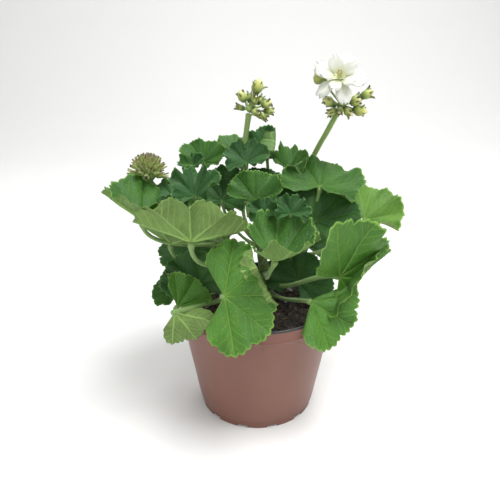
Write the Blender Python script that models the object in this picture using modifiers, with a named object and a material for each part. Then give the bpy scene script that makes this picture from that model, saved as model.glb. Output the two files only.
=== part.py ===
"""A zonal geranium in a round nursery pot: soil, leaves, flower stalks, buds and one open flower.

Metres, +Z up. The origin is on the surface that the pot stands on, under the middle of the pot.
+X runs to the plant's right and -Y to its front.
"""

import math
from collections import namedtuple

import bmesh
import bpy
from mathutils import Matrix, Vector

MM = 0.001
GAP = 0.3 * MM  # clearance between neighbouring pieces

# Pot
POT_HEIGHT = 100 * MM
RIM_RADIUS = 65 * MM
RIM_DEPTH = 10 * MM
COLLAR_STEP = 0.7 * MM
HEEL_RADIUS = 50 * MM
HEEL_HEIGHT = 7 * MM
FOOT_RADIUS = 48.6 * MM
FOOT_WIDTH = 4.2 * MM
POT_WALL = 1.1 * MM
FLOOR_UNDERSIDE = 2.4 * MM
NOTCHES = 12
NOTCH_WIDTH = 9 * MM
NOTCH_HEIGHT = 2.2 * MM
DRAINS = 8
DRAIN_RADIUS = 4 * MM
DRAIN_CIRCLE = 34 * MM
POT_STEPS = 48

# Soil
SOIL_TOP = 91 * MM
SOIL_SWELL = 1.2 * MM
SOIL_SPOKES = 24
SOIL_RINGS = 5

# Petioles and stalks
PETIOLE_RADIUS = 1.7 * MM
PETIOLE_SPANS = 4
STALK_RADIUS = 2.1 * MM

# Leaf blades
BLADE_THICKNESS = 0.8 * MM
BLADE_SPOKES = 15
BLADE_RINGS = 2
LOBES = 7
LOBE_DEPTH = 0.045
NOTCH_ROUNDING = 0.4  # how much shorter the blade is beside its notch
TIP_SHARE = 0.86  # length of the blade along its midrib, as a share of its length to the side

# A shoot is a tapering stem: the points it runs through and its radius at the foot and at the tip, in mm.
Shoot = namedtuple("Shoot", "points foot_radius tip_radius")

# A leaf, in mm and degrees. hub is where the petiole meets the blade. face is the compass direction that
# the upper face looks in (0 is +X, 90 is +Y) and lift the height of that look above level, so 90 lies
# flat. spin turns the midrib clockwise from straight uphill. size is the length from the hub to the side
# lobes. shoot and foot say where the petiole starts: the stem, and the share of the way up it. cup, fold
# and curl raise the whole blade, raise its two sides, and bend it further towards the rim. spread is the
# angle from the midrib to each edge of the notch. wave ripples the rim, waves times round. rise is how much
# the petiole leans along its stem where it leaves it.
Leaf = namedtuple("Leaf", "hub face lift spin size cup fold spread curl wave waves phase shoot foot rise")


def leaf(hub, face, lift, spin, size, shoot, foot, cup=12, fold=0, spread=150, curl=0, wave=8, waves=4,
         phase=0, rise=0.5):
    return Leaf(hub, face, lift, spin, size, cup, fold, spread, curl, wave, waves, phase, shoot, foot, rise)


SHOOTS = {
    "middle": Shoot([(9, 12, 68), (8, 12, 100), (4, 10, 130), (2, 12, 158)], 5.5, 3.6),
    "left": Shoot([(-3, 12, 105), (-12, 10, 115), (-22, 10, 132), (-30, 12, 158)], 4.2, 3.2),
    "right": Shoot([(18, 13, 105), (25, 16, 115), (32, 18, 130), (36, 20, 152)], 4.2, 3.2),
}

LEAVES = {
    # left side
    "leaf_left_outer": leaf((-89.6, -23.1, 175.9), 5.6, 67.9, -4.1, 36.5, "left", 0.8, cup=16.5,
        fold=18, spread=120, wave=8, rise=0.6),
    "leaf_left_front": leaf((-49.1, -50.3, 164), 82, 60.3, -8.7, 48, "left", 0.7, cup=29.8, fold=-15,
        spread=155, wave=4, waves=9, rise=0.77),
    "leaf_left_under": leaf((-68.7, -11.8, 147), 50.1, 69.2, -30.2, 35, "left", 0.34, cup=17.8,
        spread=110, wave=5, rise=1.02),
    "leaf_left_fan": leaf((-43.8, 30.4, 202.8), 261.8, 51.9, 0.5, 22, "left", 0.97, cup=15.9, fold=14,
        wave=12, waves=5, rise=0.48),
    "leaf_left_ruffled": leaf((-45.6, -22.5, 190.4), 265.1, 56.1, -19.7, 24, "left", 0.78, cup=30.1,
        fold=10, wave=24, waves=5),
    "leaf_left_shaded": leaf((-45.4, -26, 118.8), 270.6, 40.6, -7, 32, "left", 0.23, cup=8, spread=120),
    "leaf_left_behind_bud": leaf((-65.7, 8.2, 179.8), 271.4, 60, -9.8, 17.6, "left", 0.9, cup=19.9,
        wave=15, waves=5, rise=0.49),
    "leaf_left_frilly": leaf((-62, -32, 182), 270, 70, 0, 13, "left", 0.86, cup=30, wave=22, waves=5),
    # middle and top
    "leaf_inner_shaded": leaf((-28, 6, 178), 265, 50, 0, 22, "middle", 0.76, wave=14),
    "leaf_top_back": leaf((-20, 48, 208), 250, 80, 60, 23, "middle", 0.99, cup=16, wave=12),
    "leaf_top_centre": leaf((-8.1, 12.5, 206.1), 267.6, 49.7, -8.7, 20, "middle", 0.84, cup=21.8,
        wave=18, waves=5, rise=0.49),
    "leaf_top_tall": leaf((9.5, 42.2, 205.3), 263.8, 20.6, -5.7, 29, "middle", 0.91, cup=12.3, fold=56,
        spread=112, wave=8, rise=0.54),
    "leaf_top_right": leaf((26.7, 32.6, 197.2), 253.8, 70.8, 50.1, 22, "right", 0.96, cup=28.4, fold=8,
        wave=18, waves=5, rise=0.48),
    "leaf_middle": leaf((-4, -17, 181), 265, 42, -4, 29, "middle", 0.68, spread=95, wave=16),
    "leaf_middle_dark": leaf((5.9, -2.6, 183.6), 269.9, 61.4, 60, 15, "middle", 0.91, cup=15.8, wave=14,
        rise=0.45),
    "leaf_young_left": leaf((4, -23, 176), 262, 44, -10, 14, "middle", 0.6, cup=30, wave=26, waves=5),
    "leaf_young_right": leaf((26.6, -27.6, 185.8), 269.7, 44.1, 10.4, 15, "middle", 0.99, cup=27.8,
        wave=26, waves=5),
    "leaf_front_ruffled": leaf((15.4, -54.1, 153.3), 261.6, 81.9, 79.1, 43, "middle", 0.4, cup=25.4,
        fold=4, wave=9, waves=5, phase=4.2, curl=24, rise=0.51),
    # right side
    "leaf_right_big": leaf((48.8, -0.3, 191.1), 259.9, 78, 11.4, 33.9, "right", 0.88, cup=7.7, wave=12,
        rise=0.47),
    "leaf_right_lower": leaf((53, -12.1, 160.7), 263.9, 41.2, 3.3, 32.6, "right", 0.73, cup=20.1,
        rise=0.52),
    "leaf_right_back": leaf((90, 24, 156), 245, 72, 75, 37, "right", 0.58, fold=6, wave=14),
    "leaf_right_front": leaf((61.4, -39.3, 131), 305.3, -7.8, 33, 49.9, "middle", 0.31, cup=7.1,
        fold=-4, spread=130, rise=-0.04),
    "leaf_right_hanging": leaf((40.2, -47.6, 114), 271.3, 28.3, 126.7, 40.1, "middle", 0.28, cup=4.7,
        spread=80, wave=6, rise=-0.02),
    "leaf_right_shaded": leaf((34.8, 1.8, 109.3), 267.1, 40, 22.1, 28.3, "right", 0.13, cup=9, wave=10,
        rise=0.51),
    # front
    "leaf_front_hanging": leaf((-24, -66, 130), 268, 33, 88, 45, "middle", 0.42, cup=2, fold=-6,
        spread=120, wave=10),
    "leaf_left_low": leaf((-61, -41.5, 110.3), 300.2, 34.2, 44.9, 28.9, "middle", 0.4, cup=14, fold=10,
        spread=66, wave=6, rise=0.21),
    "leaf_left_hanging": leaf((-61.1, -56.5, 111.9), 88, -4.7, -148.1, 32, "middle", 0.29, cup=8,
        spread=64, wave=6, rise=0.06),
    "leaf_left_small": leaf((-69.5, -12.2, 107.3), 255.8, 50.3, -75, 15.8, "left", 0.04, cup=12.2,
        rise=0.47),
    # back
    "leaf_left_sliver": leaf((-65.2, -15.9, 110.4), -15.4, 45.6, -1.8, 16.9, "left", 0.15, cup=10.8,
        fold=20, spread=75, rise=0.49),
    "leaf_inner_left": leaf((-27.3, 23.8, 183.8), 261.2, 43.7, -9.9, 20, "middle", 0.82, cup=20.1,
        wave=18, rise=0.49),
    "leaf_inner_centre": leaf((2.1, 29, 179.3), 262.8, 39.2, 0.9, 22.1, "middle", 0.86, cup=18.1,
        wave=16, rise=0.51),
    "leaf_inner_right": leaf((26, 8, 176), 270, 45, 10, 20, "right", 0.8, cup=20, wave=18),
    "leaf_top_left_curl": leaf((-53.4, 19.1, 199.4), 262.9, 48.4, -35, 12.9, "left", 0.95, cup=34.7,
        wave=24, waves=5, rise=0.49),
    "leaf_back_left": leaf((-64, 48, 166), 120, 80, 180, 36, "left", 0.7, cup=14, wave=10),
    "leaf_back_middle": leaf((-10, 60, 174), 95, 80, 180, 34, "middle", 0.7, cup=16, wave=10),
    "leaf_back_right": leaf((40, 54, 158), 65, 78, 180, 34, "right", 0.64, cup=14, wave=10),
    "leaf_back_low_left": leaf((-42, 54, 128), 115, 55, 180, 34, "left", 0.22, cup=4, fold=-4),
    "leaf_back_low_right": leaf((42, 58, 126), 60, 55, 180, 34, "right", 0.5, cup=4, fold=-4),
}


def blade_frame(spec):
    """The blade's own axes as a matrix: X along the midrib, Z out of the upper face, origin at the hub."""
    face = math.radians(spec.face)
    lift = math.radians(spec.lift)
    spin = math.radians(spec.spin)
    normal = Vector((math.cos(face) * math.cos(lift), math.sin(face) * math.cos(lift), math.sin(lift)))
    uphill = Vector((-math.cos(face) * math.sin(lift), -math.sin(face) * math.sin(lift), math.cos(lift)))
    midrib = uphill * math.cos(spin) + uphill.cross(normal) * math.sin(spin)
    turn = Matrix((midrib, normal.cross(midrib), normal)).transposed()
    return Matrix.Translation(Vector(spec.hub) * MM) @ turn.to_4x4()


def blade_point(spec, angle, share):
    """A point of the blade in its own axes: angle in radians from the midrib, share of the way to the rim."""
    side = math.sin(angle) ** 2
    reach = TIP_SHARE + (1 - TIP_SHARE) * side
    reach *= 1 - NOTCH_ROUNDING * (abs(angle) / math.radians(spec.spread)) ** 6
    length = spec.size * MM * reach * (1 + LOBE_DEPTH * math.cos(LOBES * angle))
    start = math.radians(spec.cup + spec.fold * side)
    ripple = spec.wave * math.sin(spec.waves * angle + math.radians(spec.phase))
    bend = math.radians(spec.curl + ripple) or 1e-6
    out = length * (math.sin(start + bend * share) - math.sin(start)) / bend
    up = length * (math.cos(start) - math.cos(start + bend * share)) / bend
    return Vector((out * math.cos(angle), out * math.sin(angle), up))


def reset_scene():
    for item in list(bpy.data.objects):
        bpy.data.objects.remove(item, do_unlink=True)


def new_collection(name):
    group = bpy.data.collections.new(name)
    bpy.context.scene.collection.children.link(group)
    return group


def new_material(name, colour, roughness):
    made = bpy.data.materials.new(name)
    made.use_nodes = True
    shader = made.node_tree.nodes["Principled BSDF"]
    shader.inputs["Base Color"].default_value = (*colour, 1)
    shader.inputs["Roughness"].default_value = roughness
    shader.inputs["Metallic"].default_value = 0
    return made


def new_object(name, mesh, group):
    made = bpy.data.objects.new(name, mesh)
    group.objects.link(made)
    return made


def shade(item, colour, roughness, sharp=35):
    item.data.materials.clear()
    item.data.materials.append(new_material(item.name, colour, roughness))
    item.data.shade_smooth()
    item.data.set_sharp_from_angle(angle=math.radians(sharp))


def apply_modifiers(item):
    """Bake an object's modifiers into its own mesh."""
    graph = bpy.context.evaluated_depsgraph_get()
    baked = bpy.data.meshes.new_from_object(item.evaluated_get(graph))
    item.modifiers.clear()
    item.data = baked


def boolean(target, tool, operation):
    """Join a tool to a target or cut it away, then drop the tool."""
    step = target.modifiers.new(operation.title(), "BOOLEAN")
    step.operation = operation
    step.solver = "EXACT"
    step.object = tool
    tool.hide_render = True
    tool.display_type = "WIRE"
    apply_modifiers(target)
    bpy.data.objects.remove(tool, do_unlink=True)


def tube(name, points, radii, group, roundness=1):
    """A capped rod through the points, as a mesh; roundness 1 gives six sides and 2 gives eight."""
    data = bpy.data.curves.new(name, "CURVE")
    data.dimensions = "3D"
    data.bevel_depth = 1
    data.bevel_resolution = roundness
    data.use_fill_caps = True
    line = data.splines.new("POLY")
    line.points.add(len(points) - 1)
    for knot, point, radius in zip(line.points, points, radii):
        knot.co = (*point, 1)
        knot.radius = radius
    guide = new_object(name + "_guide", data, group)
    graph = bpy.context.evaluated_depsgraph_get()
    mesh = bpy.data.meshes.new_from_object(guide.evaluated_get(graph))
    bpy.data.objects.remove(guide, do_unlink=True)
    weld(mesh)
    return new_object(name, mesh, group)


def weld(mesh, distance=0.001 * MM):
    body = bmesh.new()
    body.from_mesh(mesh)
    bmesh.ops.remove_doubles(body, verts=body.verts, dist=distance)
    bmesh.ops.recalc_face_normals(body, faces=body.faces)
    body.to_mesh(mesh)
    body.free()


def turned(name, profile, steps, group):
    """A body of revolution; the profile runs from the axis on top, down the outer side, back to the axis."""
    mesh = bpy.data.meshes.new(name)
    edges = [(i, i + 1) for i in range(len(profile) - 1)]
    mesh.from_pydata([(r, 0, z) for r, z in profile], edges, [])
    item = new_object(name, mesh, group)
    spin = item.modifiers.new("Screw", "SCREW")
    spin.axis = "Z"
    spin.steps = steps
    spin.render_steps = steps
    spin.use_merge_vertices = True
    spin.merge_threshold = 0.00001
    apply_modifiers(item)
    weld(item.data)
    return item


def bezier(knots, spans):
    """Points along a cubic curve."""
    a, b, c, d = knots
    points = []
    for i in range(spans + 1):
        t = i / spans
        s = 1 - t
        points.append(a * s**3 + b * 3 * s * s * t + c * 3 * s * t * t + d * t**3)
    return points


def shoot_at(shoot, share):
    """The middle of a shoot, its direction and its radius, a share of the way up it."""
    points = [Vector(p) * MM for p in shoot.points]
    place = share * (len(points) - 1)
    low = min(int(place), len(points) - 2)
    radius = shoot.foot_radius + (shoot.tip_radius - shoot.foot_radius) * share
    along = (points[low + 1] - points[low]).normalized()
    return points[low].lerp(points[low + 1], place - low), along, radius * MM


def rod_start(name, share, target, radius, rise=0.5):
    """Where a rod that heads for the target leaves a shoot, clear of its surface, and its first direction."""
    centre, along, shoot_radius = shoot_at(SHOOTS[name], share)
    away = target - centre
    away = (away - along * away.dot(along)).normalized()
    heading = (away + along * rise).normalized()
    return centre + away * (shoot_radius + GAP + 0.6 * radius), heading


def petiole_points(spec):
    """The curve from the shoot to the underside of the blade, arriving from the notch side."""
    hub = Vector(spec.hub) * MM
    start, heading = rod_start(spec.shoot, spec.foot, hub, PETIOLE_RADIUS, spec.rise)
    turn = blade_frame(spec).to_3x3()
    arrive = (turn @ Vector((0.5, 0, 1))).normalized()
    reach = (hub - start).length
    return bezier([start, start + heading * reach * 0.35, hub - arrive * reach * 0.3, hub], PETIOLE_SPANS)


def make_leaf(name, spec, group):
    """A thin blade with its petiole, as one body."""
    body = bmesh.new()
    bmesh.ops.create_grid(body, x_segments=BLADE_SPOKES, y_segments=BLADE_RINGS, size=0.5)
    place = blade_frame(spec)
    spread = math.radians(spec.spread)
    for vert in body.verts:
        vert.co = place @ blade_point(spec, -2 * spread * vert.co.x, vert.co.y + 0.5)
    bmesh.ops.remove_doubles(body, verts=body.verts, dist=0.01 * MM)
    mesh = bpy.data.meshes.new(name)
    body.to_mesh(mesh)
    body.free()
    blade = new_object(name, mesh, group)
    shell = blade.modifiers.new("Solidify", "SOLIDIFY")
    shell.thickness = BLADE_THICKNESS
    shell.offset = 0
    apply_modifiers(blade)
    weld(blade.data)
    points = petiole_points(spec)
    rod = tube(name + "_petiole", points, [PETIOLE_RADIUS] * len(points), group)
    boolean(blade, rod, "UNION")
    weld(blade.data)
    shade(blade, (0.05, 0.16, 0.03), 0.6)
    return blade


# A stalk carries a head of buds: the points it runs through, in mm. A bud is its middle relative to the
# head's core, its length and its radius, in mm; it points away from the core.
Head = namedtuple("Head", "stalk core core_radius buds pedicel_radius")

HEADS = {
    "left": Head(
        [(-37, 19, 154), (-56, 25, 165), (-76, 20, 180), (-85, 13, 191)],
        (-86, 10, 198),
        6.5,
        [
            (-8, -4, 1, 9, 2.2), (-7, -3, 7, 10, 2.3), (-2, -5, 9, 11, 2.4), (3, -5, 8, 10, 2.3),
            (7, -3, 5, 10, 2.3), (8, -4, -1, 9, 2.2), (2, -8, 3, 9, 2.4), (-4, -8, 3, 9, 2.4),
            (-5, 3, 7, 10, 2.3), (1, 3, 10, 11, 2.4), (6, 4, 6, 10, 2.3),
            (-8, 4, 1, 9, 2.2), (0, 8, 3, 9, 2.4), (7, 5, -1, 9, 2.2),
        ],
        0.9,
    ),
    "middle": Head(
        [(-6, 14, 162), (-11, 22, 190), (-11, 25, 212), (-7, 21, 243)],
        (-6, 20, 247),
        3,
        [
            (-6, -1, 10, 10, 3.1), (-8, 2, 1, 8, 2.3), (6, 2, 17, 13, 3.4), (4, -4, 8, 8, 2.6),
            (13, 0, 4, 9, 2.9), (15, 3, -2, 9, 2.6), (10, -4, -5, 9, 2.6),
            (5, -5, -2, 9, 3.1), (0, 8, 8, 9, 2.8),
            (8, 8, 6, 9, 2.8),
        ],
        0.9,
    ),
    "right": Head(
        [(36, 25, 156), (38, 36, 176), (45, 38, 203), (56, 24, 232), (61, 15, 246)],
        (63, 14, 251),
        3.4,
        [
            (-11, -3, 3, 10, 3), (-8, -5, -5, 9, 2.6), (-2, -6, -4, 8, 2.6), (5, -5, -5, 9, 2.8),
            (14, -3, -4, 12, 3.2), (10, -4, 3, 9, 3), (19, 0, 8, 11, 3.1),
            (12, 6, 4, 9, 2.9), (2, 9, 0, 9, 2.8), (-7, 6, 0, 9, 2.8),
            (-17, 2, 20, 11, 4.2),
        ],
        0.9,
    ),
}

# The open flower faces the same way as a leaf does; its petals stand in two rings.
FLOWER_CENTRE = (59, 4, 273)
FLOWER_FACE = 262
FLOWER_LIFT = 38
HEART_RADIUS = 2.2 * MM
PETAL_THICKNESS = 0.5 * MM
PETAL_SPANS = (4, 4)

# A ring of petals: how many, the first one's turn in degrees, the length, width and height of the foot of
# each in mm, and its rise and bend in degrees.
Ring = namedtuple("Ring", "name count turn length width base rise bend")
RINGS = [Ring("outer", 5, 0, 21.8, 17, 0, 12, -30), Ring("inner", 5, 36, 16, 12.4, 1.6, 44, -22)]

GREEN_STEM = (0.16, 0.3, 0.06)
GREEN_BUD = (0.25, 0.36, 0.08)


def make_pot(group):
    """A thin tapered pot with a collar, a raised floor with drain holes and a notched foot."""
    mm = MM
    wall = POT_WALL
    collar = POT_HEIGHT - RIM_DEPTH
    taper = (RIM_RADIUS - HEEL_RADIUS) / (POT_HEIGHT - HEEL_HEIGHT)
    under_collar = RIM_RADIUS - taper * RIM_DEPTH - COLLAR_STEP
    floor_top = FLOOR_UNDERSIDE + wall
    foot_inner = FOOT_RADIUS - FOOT_WIDTH
    profile = [
        (0, floor_top),
        (HEEL_RADIUS - wall - 2.5 * mm, floor_top),
        (HEEL_RADIUS - wall - 0.3 * mm, HEEL_HEIGHT),
        (under_collar - wall, collar - 1.5 * mm),
        (RIM_RADIUS - taper * RIM_DEPTH - wall, collar),
        (RIM_RADIUS - wall - 0.6 * mm, POT_HEIGHT),
        (RIM_RADIUS, POT_HEIGHT),
        (RIM_RADIUS, POT_HEIGHT - 1.4 * mm),
        (RIM_RADIUS - taper * RIM_DEPTH, collar),
        (under_collar, collar - 1.2 * mm),
        (HEEL_RADIUS, HEEL_HEIGHT),
        (FOOT_RADIUS, HEEL_HEIGHT - 1.6 * mm),
        (FOOT_RADIUS - 0.4 * mm, 0),
        (foot_inner, 0),
        (foot_inner, FLOOR_UNDERSIDE),
        (0, FLOOR_UNDERSIDE),
    ]
    pot = turned("pot", profile, POT_STEPS, group)
    tools = bmesh.new()
    for i in range(NOTCHES):
        place = Matrix.Rotation(math.tau * (i + 0.5) / NOTCHES, 4, "Z") @ Matrix.Translation((FOOT_RADIUS, 0, 0))
        size = Matrix.Diagonal((2 * FOOT_WIDTH + 6 * mm, NOTCH_WIDTH, 2 * NOTCH_HEIGHT, 1))
        bmesh.ops.create_cube(tools, size=1, matrix=place @ size)
    for i in range(DRAINS):
        across = Matrix.Translation((DRAIN_CIRCLE, 0, FLOOR_UNDERSIDE))
        place = Matrix.Rotation(math.tau * i / DRAINS, 4, "Z") @ across
        bmesh.ops.create_cone(
            tools,
            cap_ends=True,
            segments=12,
            radius1=DRAIN_RADIUS,
            radius2=DRAIN_RADIUS,
            depth=4 * wall,
            matrix=place,
        )
    mesh = bpy.data.meshes.new("cutters")
    tools.to_mesh(mesh)
    tools.free()
    boolean(pot, new_object("pot_cutters", mesh, group), "DIFFERENCE")
    weld(pot.data)
    shade(pot, (0.23, 0.105, 0.08), 0.45)


def soil_wave(x, y):
    """The unevenness of the soil's top, from -1 to 1."""
    return 0.5 * math.sin(x / (9 * MM)) * math.cos(y / (7 * MM)) + 0.5 * math.sin((x + y) / (13 * MM))


def make_soil(group):
    """The potting soil that fills the pot, its top uneven, with a socket for the main stem."""
    taper = (RIM_RADIUS - HEEL_RADIUS) / (POT_HEIGHT - HEEL_HEIGHT)
    floor_top = FLOOR_UNDERSIDE + POT_WALL + GAP
    inside = HEEL_RADIUS - POT_WALL - GAP - 0.4 * MM
    top_radius = inside + taper * (SOIL_TOP - HEEL_HEIGHT) - 1.4 * MM
    profile = [(top_radius * i / SOIL_RINGS, SOIL_TOP) for i in range(SOIL_RINGS + 1)]
    profile += [
        (inside, HEEL_HEIGHT),
        (inside - 2.2 * MM, floor_top),
        (0, floor_top),
    ]
    soil = turned("soil", profile, SOIL_SPOKES, group)
    for vert in soil.data.vertices:
        if vert.co.z > SOIL_TOP - MM:
            vert.co.z += SOIL_SWELL * soil_wave(vert.co.x, vert.co.y)
    stem = SHOOTS["middle"]
    points = [Vector(p) * MM for p in stem.points[:2]]
    points[0].z -= GAP
    socket = tube("socket", points, [stem.foot_radius * MM + GAP] * 2, group, roundness=2)
    boolean(soil, socket, "DIFFERENCE")
    weld(soil.data)
    shade(soil, (0.03, 0.02, 0.015), 0.95)


def make_shoots(group):
    for name, shoot in SHOOTS.items():
        points = [Vector(p) * MM for p in shoot.points]
        last = len(points) - 1
        radii = [shoot.foot_radius + (shoot.tip_radius - shoot.foot_radius) * i / last for i in range(last + 1)]
        stem = tube("stem_" + name, points, [r * MM for r in radii], group, roundness=2)
        shade(stem, GREEN_STEM, 0.6)


def make_stalks(group):
    for name, head in HEADS.items():
        points = [Vector(p) * MM for p in head.stalk]
        core = Vector(head.core) * MM
        top = core - (core - points[-1]).normalized() * (head.core_radius * MM + GAP)
        stalk = tube("stalk_" + name, [*points[:-1], top], [STALK_RADIUS] * len(points), group)
        shade(stalk, GREEN_STEM, 0.6)


def spindle(name, centre, along, length, radius, group):
    """A pointed bud, fatter below its middle."""
    turn = along.to_track_quat("Z", "Y").to_matrix().to_4x4()
    place = Matrix.Translation(centre) @ turn @ Matrix.Diagonal((radius, radius, length / 2, 1))
    body = bmesh.new()
    bmesh.ops.create_uvsphere(body, u_segments=6, v_segments=4, radius=1)
    for vert in body.verts:
        width = 1 - 0.3 * max(vert.co.z, 0)
        vert.co.x *= width
        vert.co.y *= width
    bmesh.ops.transform(body, matrix=place, verts=body.verts)
    mesh = bpy.data.meshes.new(name)
    body.to_mesh(mesh)
    body.free()
    return new_object(name, mesh, group)


def make_heads(group):
    """Each head is one body: a core, short stalks and buds."""
    for name, head in HEADS.items():
        core = Vector(head.core) * MM
        radius = head.core_radius * MM
        cluster = spindle("buds_" + name, core, Vector((0, 0, 1)), 2 * radius, radius, group)
        for x, y, z, length, radius in head.buds:
            middle = Vector((x, y, z)) * MM
            along = middle.normalized()
            inner = core + middle - along * length * MM * 0.3
            rod = tube("pedicel", [core, inner], [head.pedicel_radius * MM] * 2, group)
            bud = spindle("bud", core + middle, along, length * MM, radius * MM, group)
            boolean(cluster, rod, "UNION")
            boolean(cluster, bud, "UNION")
        weld(cluster.data)
        shade(cluster, GREEN_BUD, 0.55)


def flower_frame():
    """Axes of the open flower: Z out of its face, Y uphill."""
    face = math.radians(FLOWER_FACE)
    lift = math.radians(FLOWER_LIFT)
    normal = Vector((math.cos(face) * math.cos(lift), math.sin(face) * math.cos(lift), math.sin(lift)))
    uphill = Vector((-math.cos(face) * math.sin(lift), -math.sin(face) * math.sin(lift), math.cos(lift)))
    turn = Matrix((uphill.cross(normal), uphill, normal)).transposed()
    return Matrix.Translation(Vector(FLOWER_CENTRE) * MM) @ turn.to_4x4()


def petal_point(ring, side, share):
    """A point of a petal that runs along +X: side from -1 to 1, share of the way from its foot to its tip."""
    half = 0.5 * ring.width * MM * (0.16 + 0.84 * math.sin(math.pi * share**1.25 * 0.86 + 0.05) ** 0.8)
    start = math.radians(ring.rise)
    bend = math.radians(ring.bend)
    length = ring.length * MM
    out = length * (math.sin(start + bend * share) - math.sin(start)) / bend
    up = length * (math.cos(start) - math.cos(start + bend * share)) / bend
    return Vector((HEART_RADIUS + 2 * GAP + out, side * half, ring.base * MM + up + 0.12 * half * side * side))


def make_petals(group):
    place = flower_frame()
    up = Vector((0, 0, 1))
    heart = spindle("flower_heart", Vector((0, 0, 0)), up, 2.2 * HEART_RADIUS, HEART_RADIUS, group)
    heart.data.transform(place)
    shade(heart, (0.6, 0.62, 0.3), 0.5)
    across, along = PETAL_SPANS
    for ring in RINGS:
        for i in range(ring.count):
            body = bmesh.new()
            bmesh.ops.create_grid(body, x_segments=across, y_segments=along, size=0.5)
            turn = Matrix.Rotation(math.radians(ring.turn) + math.tau * i / ring.count, 4, "Z")
            for vert in body.verts:
                vert.co = place @ turn @ petal_point(ring, 2 * vert.co.x, vert.co.y + 0.5)
            name = f"petal_{ring.name}_{i + 1}"
            mesh = bpy.data.meshes.new(name)
            body.to_mesh(mesh)
            body.free()
            petal = new_object(name, mesh, group)
            shell = petal.modifiers.new("Solidify", "SOLIDIFY")
            shell.thickness = PETAL_THICKNESS
            shell.offset = 0
            apply_modifiers(petal)
            weld(petal.data)
            shade(petal, (0.85, 0.86, 0.8), 0.55)


def build():
    reset_scene()
    plant = new_collection("potted_geranium")
    make_pot(plant)
    make_soil(plant)
    make_shoots(plant)
    for name, spec in LEAVES.items():
        make_leaf(name, spec, plant)
    make_stalks(plant)
    make_heads(plant)
    make_petals(plant)


build()
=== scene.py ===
import math

import bmesh
import bpy
from mathutils import Matrix, Vector, noise


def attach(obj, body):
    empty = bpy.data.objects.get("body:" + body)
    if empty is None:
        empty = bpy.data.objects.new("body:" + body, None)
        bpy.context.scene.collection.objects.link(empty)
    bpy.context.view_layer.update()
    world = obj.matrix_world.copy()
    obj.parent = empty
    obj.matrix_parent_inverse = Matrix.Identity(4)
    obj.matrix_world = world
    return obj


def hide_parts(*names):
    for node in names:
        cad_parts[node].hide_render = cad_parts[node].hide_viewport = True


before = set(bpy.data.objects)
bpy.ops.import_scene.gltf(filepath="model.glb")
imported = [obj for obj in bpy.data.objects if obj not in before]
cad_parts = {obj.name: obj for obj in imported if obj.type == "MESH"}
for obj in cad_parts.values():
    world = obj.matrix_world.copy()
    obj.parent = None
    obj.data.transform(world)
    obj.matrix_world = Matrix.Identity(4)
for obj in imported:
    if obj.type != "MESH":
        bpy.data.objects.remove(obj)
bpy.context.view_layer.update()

mm = 0.001
print("frame loaded")


def addPiece(name, mesh, materials):
    piece = bpy.data.objects.new(name, mesh)
    bpy.context.scene.collection.objects.link(piece)
    for material in materials:
        mesh.materials.append(material)
    return piece


def bakeModifiers(piece):
    graph = bpy.context.evaluated_depsgraph_get()
    mesh = bpy.data.meshes.new_from_object(piece.evaluated_get(graph))
    piece.modifiers.clear()
    piece.data = mesh
    return piece


def bezier(knots, spans):
    a, b, c, d = knots
    points = []
    for i in range(spans + 1):
        t = i / spans
        s = 1 - t
        points.append(a * s**3 + b * 3 * s * s * t + c * 3 * s * t * t + d * t**3)
    return points


def smoothLine(points, spans):
    # an even, rounded line through the points
    line = []
    last = len(points) - 1
    for i in range(last):
        before = points[max(i - 1, 0)]
        start, end = points[i], points[i + 1]
        after = points[min(i + 2, last)]
        line += bezier([start, start + (end - before) / 6, end - (after - start) / 6, end], spans)[:-1]
    return [*line, points[last]]


def rodMesh(points, radii, sides, wobble=0.0, seed=0.0):
    # a round rod through the points with closed, slightly domed ends
    # its UV runs round in U and along in metres in V
    body = bmesh.new()
    uv = body.loops.layers.uv.new("rod")
    rings = []
    along = []
    run = 0.0
    side = Vector((1, 0, 0))
    for i, point in enumerate(points):
        ahead = (points[min(i + 1, len(points) - 1)] - points[max(i - 1, 0)]).normalized()
        side = (side - ahead * side.dot(ahead)).normalized()
        if side.length < 0.5:
            side = ahead.orthogonal().normalized()
        up = ahead.cross(side)
        if i:
            run += (point - points[i - 1]).length
        along.append(run)
        ring = []
        for k in range(sides):
            turn = math.tau * k / sides
            radius = radii[i] * (1 + wobble * noise.noise(Vector(
                (math.cos(turn), math.sin(turn), run * 90 + seed))))
            ring.append(body.verts.new(point + (side * math.cos(turn) + up * math.sin(turn)) * radius))
        rings.append(ring)
    for i in range(len(rings) - 1):
        for k in range(sides):
            face = body.faces.new((rings[i][k], rings[i][(k + 1) % sides], rings[i + 1][(k + 1) % sides],
                rings[i + 1][k]))
            for loop, (u, v) in zip(face.loops, ((k, i), (k + 1, i), (k + 1, i + 1), (k, i + 1))):
                loop[uv].uv = (u / sides, along[v])
    for ring, out in ((rings[0], points[0] - points[1]), (rings[-1], points[-1] - points[-2])):
        tip = body.verts.new(sum((v.co for v in ring), Vector()) / sides + out.normalized() * radii[0] * 0.35)
        for k in range(sides):
            body.faces.new((ring[k], ring[(k + 1) % sides], tip))
    bmesh.ops.recalc_face_normals(body, faces=body.faces)
    for face in body.faces:
        face.smooth = True
    mesh = bpy.data.meshes.new("rod")
    body.to_mesh(mesh)
    body.free()
    return mesh


def joinMeshes(name, parts):
    # parts are (mesh, material slot); everything goes into one mesh with its UV maps kept
    body = bmesh.new()
    for mesh, slot in parts:
        start = len(body.faces)
        body.from_mesh(mesh)
        body.faces.ensure_lookup_table()
        for face in body.faces[start:]:
            face.material_index = slot if slot is not None else face.material_index
    joined = bpy.data.meshes.new(name)
    body.to_mesh(joined)
    body.free()
    return joined


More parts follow.
